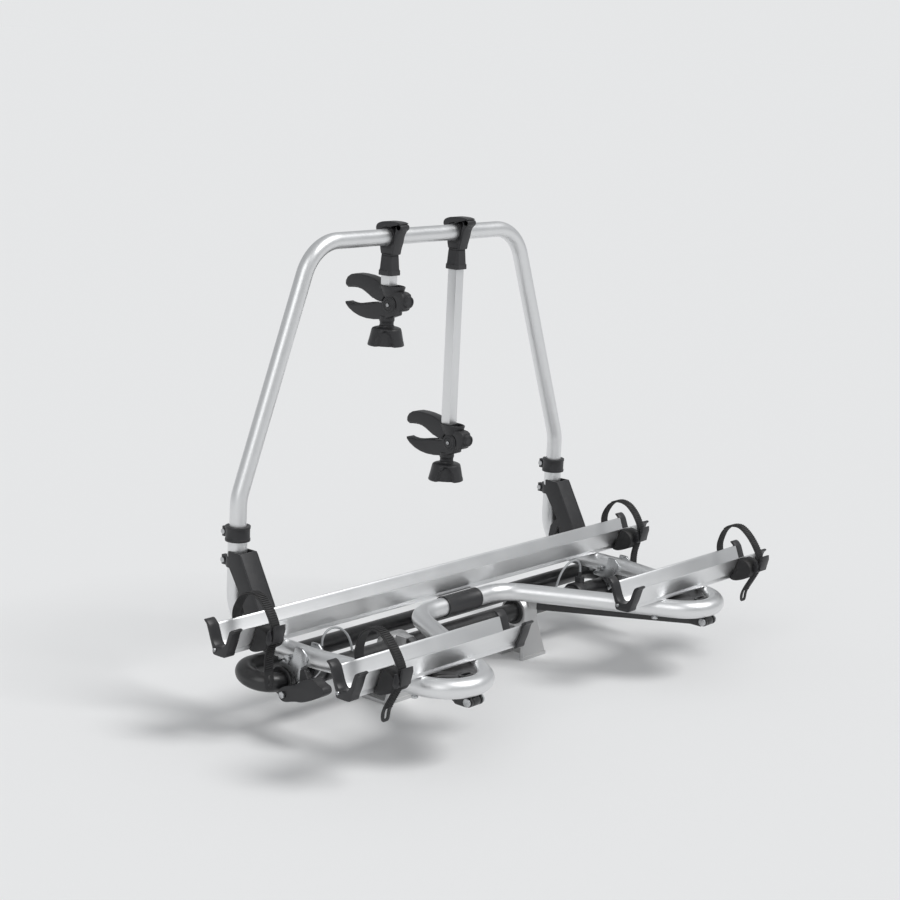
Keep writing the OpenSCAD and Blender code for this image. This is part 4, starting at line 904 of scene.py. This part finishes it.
UPPER_BACK = [(-38, -9), (-44, -11.5), (-50, -8.5), (-54.5, -1), (-56.5, 9)]
UPPER_TONGUE = [(4, 12), (-32, 12), (-32.2, -2), (-30, -8), (-24.5, -13.5), (-14, -16.5), (-2, -13), (6, 0)]
LOWER_JAW = [(116.5, -7), (108, -9.8), (92, -11), (76, -9), (54, -4.2), (30, -0.6), (8, 1.8)]
LOWER_KEEL = [(-30, -22), (-12, -29), (8, -33.5), (30, -36.5), (52, -37), (72, -34.5), (90, -29), (105, -21),
              (114, -13)]
TONGUE_ROOM = [(10, 26), (-50, 26), (-50, -7)]
UPPER_PAD = [(38, 10.5), (54, 18.8), (70, 25.2), (85, 27.2), (100, 26.2), (110, 25)]
LOWER_PAD = [(36, -1.2), (54, -4.0), (76, -8.8), (92, -10.8), (106, -10)]
PAD_PITCH, PAD_RIDGE = 0.0045, (0.020, 0.0026, 0.0022)

# Turned profiles and the socket's rows, as (radius, height)
HINGE_KNUCKLE = [(0, 0), (5.8, 0), (6, 0.8), (6, 6), (0, 6)]
WING_KNUCKLE = [(0, -6.8), (5.8, -6.8), (6, -6), (6, 6), (5.8, 6.8), (0, 6.8)]
KNUCKLE_Y, KNUCKLE_Z, KNUCKLE_WIDE, KNUCKLE_ROOM = 0.131, 0.980, 0.0060, 0.0067
BAR_CUP = [(12, 12), (17.6, 19), (20.8, 26.6), (22.8, 34.5), (24, 39.2), (23.6, 41.2), (22.4, 41.8),
           (21.4, 40.6), (20.6, 37), (19.6, 31.5), (12, 30)]
CUP_SCALE, CUP_Y, CUP_Z = (0.90, 1.32, 1), -0.0115, -0.001
SLEEVE_IN, SLEEVE_OUT, SLEEVE_LOW, SLEEVE_HIGH = 12.8, 14.6, 30, 40.5
JAW_BOSS = [(0, -4), (12.8, -4), (12.8, 16), (12.1, 18.2), (10.2, 19.2), (8.5, 19.2), (8, 17.6), (0, 17.6)]
BOSS_Y, BOSS_Z = -0.0445, 0.0105
PIVOT_RING = [(0, 0), (16.8, 0), (16.8, 1.2), (15.8, 2.2), (14.2, 2.4), (12.8, 2.2), (12.2, 1.4), (11.2, 1.4),
              (10.4, 2.2), (8.8, 2.6), (5.2, 2.6), (4.6, 1.2), (0, 1.2)]
RING_SUNK, PIVOT_OUT, PIVOT_D, PIVOT_H = 0.0008, 0.0152, 0.0086, 0.0030
STUD_NECK = [(0, -26), (16.4, -26), (16.8, -35), (16.2, -37.2), (15.2, -38.5), (15.2, -45.2), (0, -45.2)]
SOCKET = [(14.3, -35.5), (15, -36.2), (15.2, -39), (14.6, -39.6), (15.3, -40.2), (17, -66), (17.6, -70.5),
          (18.8, -71.2), (19.2, -80), (18.6, -81.5), (17.2, -81.8)]
SOCKET_CHAMFER = 0.30

# The knob: its skin as (depth, radius), and its hollows and lobes
KNOB_SKIN = [(0, 12.8), (0.6, 15), (2, 15.8), (3.4, 15.8), (4, 18.6), (5.2, 25.6), (6.6, 28.4), (8.4, 29.6),
             *[(11 + 3 * k, 30.2 + 0.5 * k) for k in range(7)], (32, 33.8), (35, 34.4), (38, 34.9),
             (40, 35.2), (41.2, 35), (42, 34.2), (42.4, 32.5), (42.4, 26), (41.8, 12), (41.8, 0.2)]
KNOB_Y, KNOB_DROP, KNOB_SIDES, KNOB_WIDE, KNOB_TALL = 0.167, 0.0455, 120, 1.07, 1.05
KNOB_FULL, KNOB_DEEP, KNOB_TURN = 0.0352, 0.042, 98
HOLLOW_HALF, HOLLOW_FOOT, HOLLOW_RISE, HOLLOW_DEEP = 34, 0.96, 0.74, 0.0092
HOLLOW_WALL, HOLLOW_EASE, LOBE_OUT = 3.6, 0.8, 0.0028


def slab(name, outline, x, half, z, bevel=0.0, segments=3):
    """An outline measured from the hoop's plane at height z, pulled to both sides of x, its rim rounded."""
    piece = extruded(name, at(outline, HOOP_Y, z), x - half, x + half)
    return rounded(piece, bevel, segments) if bevel else piece


def pads(x, z, points):
    """Low rubber ribs across a jaw, made by the strap's ridge tree."""
    line = eased([(x, HOOP_Y + y, z + h) for y, h in mm(points)], 6)
    return ridges("jaw pad", line, PAD_PITCH, PAD_RIDGE, moulded_black())


def upper_jaw(name, x, z):
    rim = arc(PIVOT_Y, 0.0, UPPER_DISC, 12, 194, 18)
    parts = [slab("jaw side", mm(UPPER_JAW) + rim + mm(UPPER_BACK), x, JAW_HALF, z, JAW_EDGE, 4),
             slab("jaw tongue", mm(UPPER_TONGUE), x, TONGUE_HALF, z, CORE_EDGE, 2)]
    over = Matrix.Translation((x, HOOP_Y + CUP_Y, z + CUP_Z)) @ Matrix.Diagonal((*CUP_SCALE, 1))
    parts.append(set_at(turned("bar cup", BAR_CUP, (0, 0, 0), "Z", 56), over))
    inner, outer = SLEEVE_IN * sqrt(2), SLEEVE_OUT * sqrt(2)
    corners = ((inner, SLEEVE_LOW), (outer, SLEEVE_LOW), (outer, SLEEVE_HIGH), (inner, SLEEVE_HIGH))
    wall = [*corners, corners[0]]
    square = Matrix.Translation((x, HOOP_Y, z)) @ Matrix.Rotation(radians(45), 4, "Z")
    parts.append(set_at(turned("bar sleeve", wall, (0, 0, 0), "Z", 4), square))
    behind = Matrix.Translation((x, HOOP_Y + BOSS_Y, z + BOSS_Z)) @ HALF_TURN
    parts.append(set_at(turned("jaw boss", JAW_BOSS, (0, 0, 0), "Y"), behind))
    return joined(name, [*parts, pads(x, z, UPPER_PAD)])


def lower_jaw(name, x, z):
    rim = arc(PIVOT_Y, 0.0, LOWER_DISC, 25, 215, 18)
    body = slab("jaw side", mm(LOWER_JAW) + rim + mm(LOWER_KEEL), x, JAW_HALF, z, JAW_EDGE, 4)
    room = mm(TONGUE_ROOM) + arc(PIVOT_Y, 0.0, ROOM_DISC, 200, 345, 14)
    parts = [cut_out(body, slab("tongue room", room, x, ROOM_HALF, z), 38)]
    for s in (1, -1):
        beside_jaw = Matrix.Translation((x + s * (JAW_HALF - RING_SUNK), HOOP_Y + PIVOT_Y, z))
        facing = beside_jaw if s > 0 else beside_jaw @ HALF_TURN
        parts.append(set_at(turned("pivot ring", PIVOT_RING, (0, 0, 0), "X", 48), facing))
    parts.append(turned("stud neck", STUD_NECK, (x, KNOB_Y, z)))
    return joined(name, [*parts, pads(x, z, LOWER_PAD)])


def bar_socket(x):
    """An eight-sided sleeve that widens down to a lipped band."""
    verts = []
    for r, h in mm(SOCKET):
        c = r * (1 - SOCKET_CHAMFER)
        corners = ((r, -c), (r, c), (c, r), (-c, r), (-r, c), (-r, -c), (-c, -r), (c, -r))
        verts += [(x + u, HOOP_Y + v, TOP_Z + h) for u, v in corners]
    return mesh_object("bar socket", verts, ring_faces(len(SOCKET), 8), 24)


def arm_clamp(name, x):
    """The split ring on the top bar, its strap, neck and the socket that holds the bar."""
    half = CLAMP_WIDTH / 2
    ring = arc(0, 0, RING_OUT, RING_FROM, RING_TO, 40)
    ring += arc(0, 0, RING_IN, RING_TO - FULL_TURN, RING_FROM - FULL_TURN, 40)
    parts = [slab("clamp ring", ring, x, half, TOP_Z, RING_EDGE, 2),
             slab("clamp strap", fluent(mm(CLAMP_STRAP), 3), x, half, TOP_Z, STRAP_EDGE),
             slab("clamp neck", mm(CLAMP_NECK), x, half, TOP_Z, NECK_EDGE, 2),
             bar_socket(x)]
    for start in (half - KNUCKLE_WIDE, -half):
        parts.append(turned("hinge knuckle", HINGE_KNUCKLE, (x + start, KNUCKLE_Y, KNUCKLE_Z), "X", 28))
    return joined(name, parts)


def arm_wing(name, x):
    """The lever that closes over the top bar, thick at its free end."""
    under = arc(KNUCKLE_Y - HOOP_Y, KNUCKLE_Z - TOP_Z, KNUCKLE_ROOM, 20, 100, 8)
    body = slab("wing", fluent(mm(WING), 2) + under, x, CLAMP_WIDTH / 2, TOP_Z, WING_EDGE)
    knuckle = turned("wing knuckle", WING_KNUCKLE, (x, KNUCKLE_Y, KNUCKLE_Z), "X", 28)
    return joined(name, [body, knuckle, slab("wing web", mm(WING_WEB), x, WEB_HALF, TOP_Z)])


def knob_piece(name, x, z):
    """A round grip that flares down, with three arched hollows between its lobes."""
    verts = []
    for down, r in mm(KNOB_SKIN):
        t, full = min(1.0, down / KNOB_DEEP), r / KNOB_FULL
        for k in range(KNOB_SIDES):
            a = 2 * pi * k / KNOB_SIDES
            off = (degrees(a) - KNOB_TURN) % 120 - 60
            aside, above = (60 - abs(off)) / HOLLOW_HALF, max(0.0, HOLLOW_FOOT - t) / HOLLOW_RISE
            hollow = max(0.0, 1 - aside ** 2 - above ** 2)
            dip = HOLLOW_DEEP * min(1.0, hollow * HOLLOW_WALL) ** HOLLOW_EASE * full
            lobe = LOBE_OUT * max(0.0, cos(radians(off * 1.5))) * t * full
            wide = KNOB_WIDE * max(0.0001, r - dip + lobe)
            verts.append((x + wide * cos(a), KNOB_Y + wide * sin(a), z - KNOB_TALL * down))
    return mesh_object(name, verts, ring_faces(len(KNOB_SKIN), KNOB_SIDES), 40)


class RACK_OT_arms(bpy.types.Operator):
    """The two sliding arms with clamp, bar, claw and knob"""
    bl_idname = "rack.arms"
    bl_label = "Bike arms"

    def execute(self, context):
        sizes = context.scene.rack_arms
        black, alu = moulded_black(), drawn_aluminium("Z")
        for arm in ("short", "long"):
            x, z = getattr(sizes, arm + "_x"), TOP_Z - getattr(sizes, arm + "_drop")
            liner = turned(arm + " liner", LINER, (x, HOOP_Y, TOP_Z), "X", 48)
            place(liner, arm + "_carriage", black, arm + "_arm_liner")
            place(arm_clamp(arm + " clamp", x), arm + "_arm", black, arm + "_arm_clamp")
            place(arm_wing(arm + " wing", x), arm + "_wing", black, arm + "_arm_wing")
            dress(arm + "_arm_bar", arm + "_arm", alu, LEVER_EDGE, 3, name=arm + " bar")
            place(upper_jaw(arm + " upper jaw", x, z), arm + "_arm", black, arm + "_claw_upper")
            place(lower_jaw(arm + " lower jaw", x, z), arm + "_jaw", black, arm + "_claw_lower")
            spots = [(x + s * PIVOT_OUT, HOOP_Y + PIVOT_Y, z, 0, s * 90) for s in (1, -1)]
            screws(arm + " jaw pivot", spots, PIVOT_D, PIVOT_H, arm + "_arm", arm + "_claw_pivot")
            place(knob_piece(arm + " knob", x, z - KNOB_DROP), arm + "_knob", black, arm + "_claw_knob")
        return {"FINISHED"}


# Stage: the camera is the one solved from the photo, with its angles in degrees

CAMERA_AT = (-3.19327, -2.70235, 1.41134)
AZIMUTH, ELEVATION, ROLL, LENS, SENSOR = -49.23, 12.20, 2.65, 79.29, 36.0
NEAR, FAR = 0.1, 400.0
# Name, direction, spread in degrees and power of each light
LIGHTS = (("key", (-0.35, 0.62, -1.0), 24, 1.5), ("side", (0.85, 0.35, -0.6), 40, 0.5))
SKY = (0.96, 0.98, 1.0, 1)


def pale_floor(half, color):
    mat, tree, shader = new_finish("Pale floor")
    feed(tree, shader, {"Base Color": (*color, 1), "Roughness": 0.9, "Specular IOR Level": 0.0})
    corners = [(-half, -half, 0), (half, -half, 0), (half, half, 0), (-half, half, 0)]
    floor = mesh_object("floor", corners, [(0, 1, 2, 3)])
    if floor.data.polygons[0].normal.z < 0:
        floor.data.flip_normals()
    floor.data.materials.append(mat)


def studio(ambient, backdrop):
    """Even light from all around, with the backdrop's colour for what the camera sees."""
    world = bpy.data.worlds.new("Studio")
    bpy.context.scene.world = world
    world.use_nodes = True
    tree = world.node_tree
    light = tree.nodes["Background"]
    feed(tree, light, {"Color": SKY, "Strength": ambient})
    seen = node(tree, "ShaderNodeBackground", {"Color": (*backdrop, 1), "Strength": 1.0})
    path = node(tree, "ShaderNodeLightPath").outputs
    either = math_node(tree, "MAXIMUM", path["Is Camera Ray"], path["Is Transmission Ray"])
    mix = node(tree, "ShaderNodeMixShader", {0: either, 1: light, 2: seen})
    feed(tree, tree.nodes["World Output"], {"Surface": mix})


def sun(name, aim, spread, power):
    lamp = bpy.data.lights.new(name, "SUN")
    lamp.angle, lamp.energy = radians(spread), power
    light = linked(name, lamp)
    light.location = (0, 0, 3)
    light.rotation_mode = "QUATERNION"
    light.rotation_quaternion = Vector(aim).to_track_quat("-Z", "Y")


def photo_camera():
    lens = bpy.data.cameras.new("camera")
    lens.sensor_width, lens.lens = SENSOR, LENS
    lens.clip_start, lens.clip_end = NEAR, FAR
    azimuth, elevation, roll = radians(AZIMUTH), radians(ELEVATION), radians(ROLL)
    level = cos(elevation)
    back_way = Vector((sin(azimuth) * level, -cos(azimuth) * level, sin(elevation)))
    right = (-back_way).cross(Vector((0, 0, 1))).normalized()
    down = (-back_way).cross(right)
    x_axis = cos(roll) * right - sin(roll) * down
    y_axis = -(sin(roll) * right + cos(roll) * down)
    turn = Matrix((x_axis, y_axis, back_way)).transposed()
    camera = linked("camera", lens)
    camera.matrix_world = Matrix.Translation(CAMERA_AT) @ turn.to_4x4()
    return camera


class RACK_OT_stage(bpy.types.Operator):
    """Pale floor, soft lights and the camera"""
    bl_idname = "rack.stage"
    bl_label = "Stage"

    def execute(self, context):
        sizes = context.scene.rack_stage
        pale_floor(sizes.floor_size, sizes.floor_color)
        studio(sizes.ambient, sizes.backdrop)
        for light in LIGHTS:
            sun(*light)
        context.scene.camera = photo_camera()
        context.scene.view_settings.view_transform = "Standard"
        return {"FINISHED"}


# The add-on

OPERATORS = (RACK_OT_tubes, RACK_OT_platform, RACK_OT_rails, RACK_OT_base, RACK_OT_cables, RACK_OT_straps,
             RACK_OT_arms, RACK_OT_stage)
SETTINGS = (("rack_finish", RackFinish), ("rack_tubes", RackTubes), ("rack_straps", RackStraps),
            ("rack_arms", RackArms), ("rack_stage", RackStage))


class RACK_PT_panel(bpy.types.Panel):
    """Lists the rack's builders and their settings"""
    bl_idname = "RACK_PT_panel"
    bl_label = "Bike rack"
    bl_space_type = "VIEW_3D"
    bl_region_type = "UI"
    bl_category = "Bike rack"

    def draw(self, context):
        for op in OPERATORS:
            self.layout.operator(op.bl_idname)
        for key, kind in SETTINGS:
            box = self.layout.box()
            group = getattr(context.scene, key)
            for name in kind.__annotations__:
                box.prop(group, name)


def register():
    for _, kind in SETTINGS:
        bpy.utils.register_class(kind)
    for key, kind in SETTINGS:
        setattr(bpy.types.Scene, key, PointerProperty(type=kind))
    for kind in (*OPERATORS, RACK_PT_panel):
        bpy.utils.register_class(kind)


def unregister():
    for kind in (RACK_PT_panel, *reversed(OPERATORS)):
        bpy.utils.unregister_class(kind)
    for key, kind in reversed(SETTINGS):
        delattr(bpy.types.Scene, key)
        bpy.utils.unregister_class(kind)


def main():
    register()
    bpy.ops.rack.tubes()
    bpy.ops.rack.platform()
    bpy.ops.rack.rails()
    bpy.ops.rack.base()
    bpy.ops.rack.cables()
    bpy.ops.rack.straps()
    bpy.ops.rack.arms()
    bpy.ops.rack.stage()


if __name__ == "__main__":
    main()
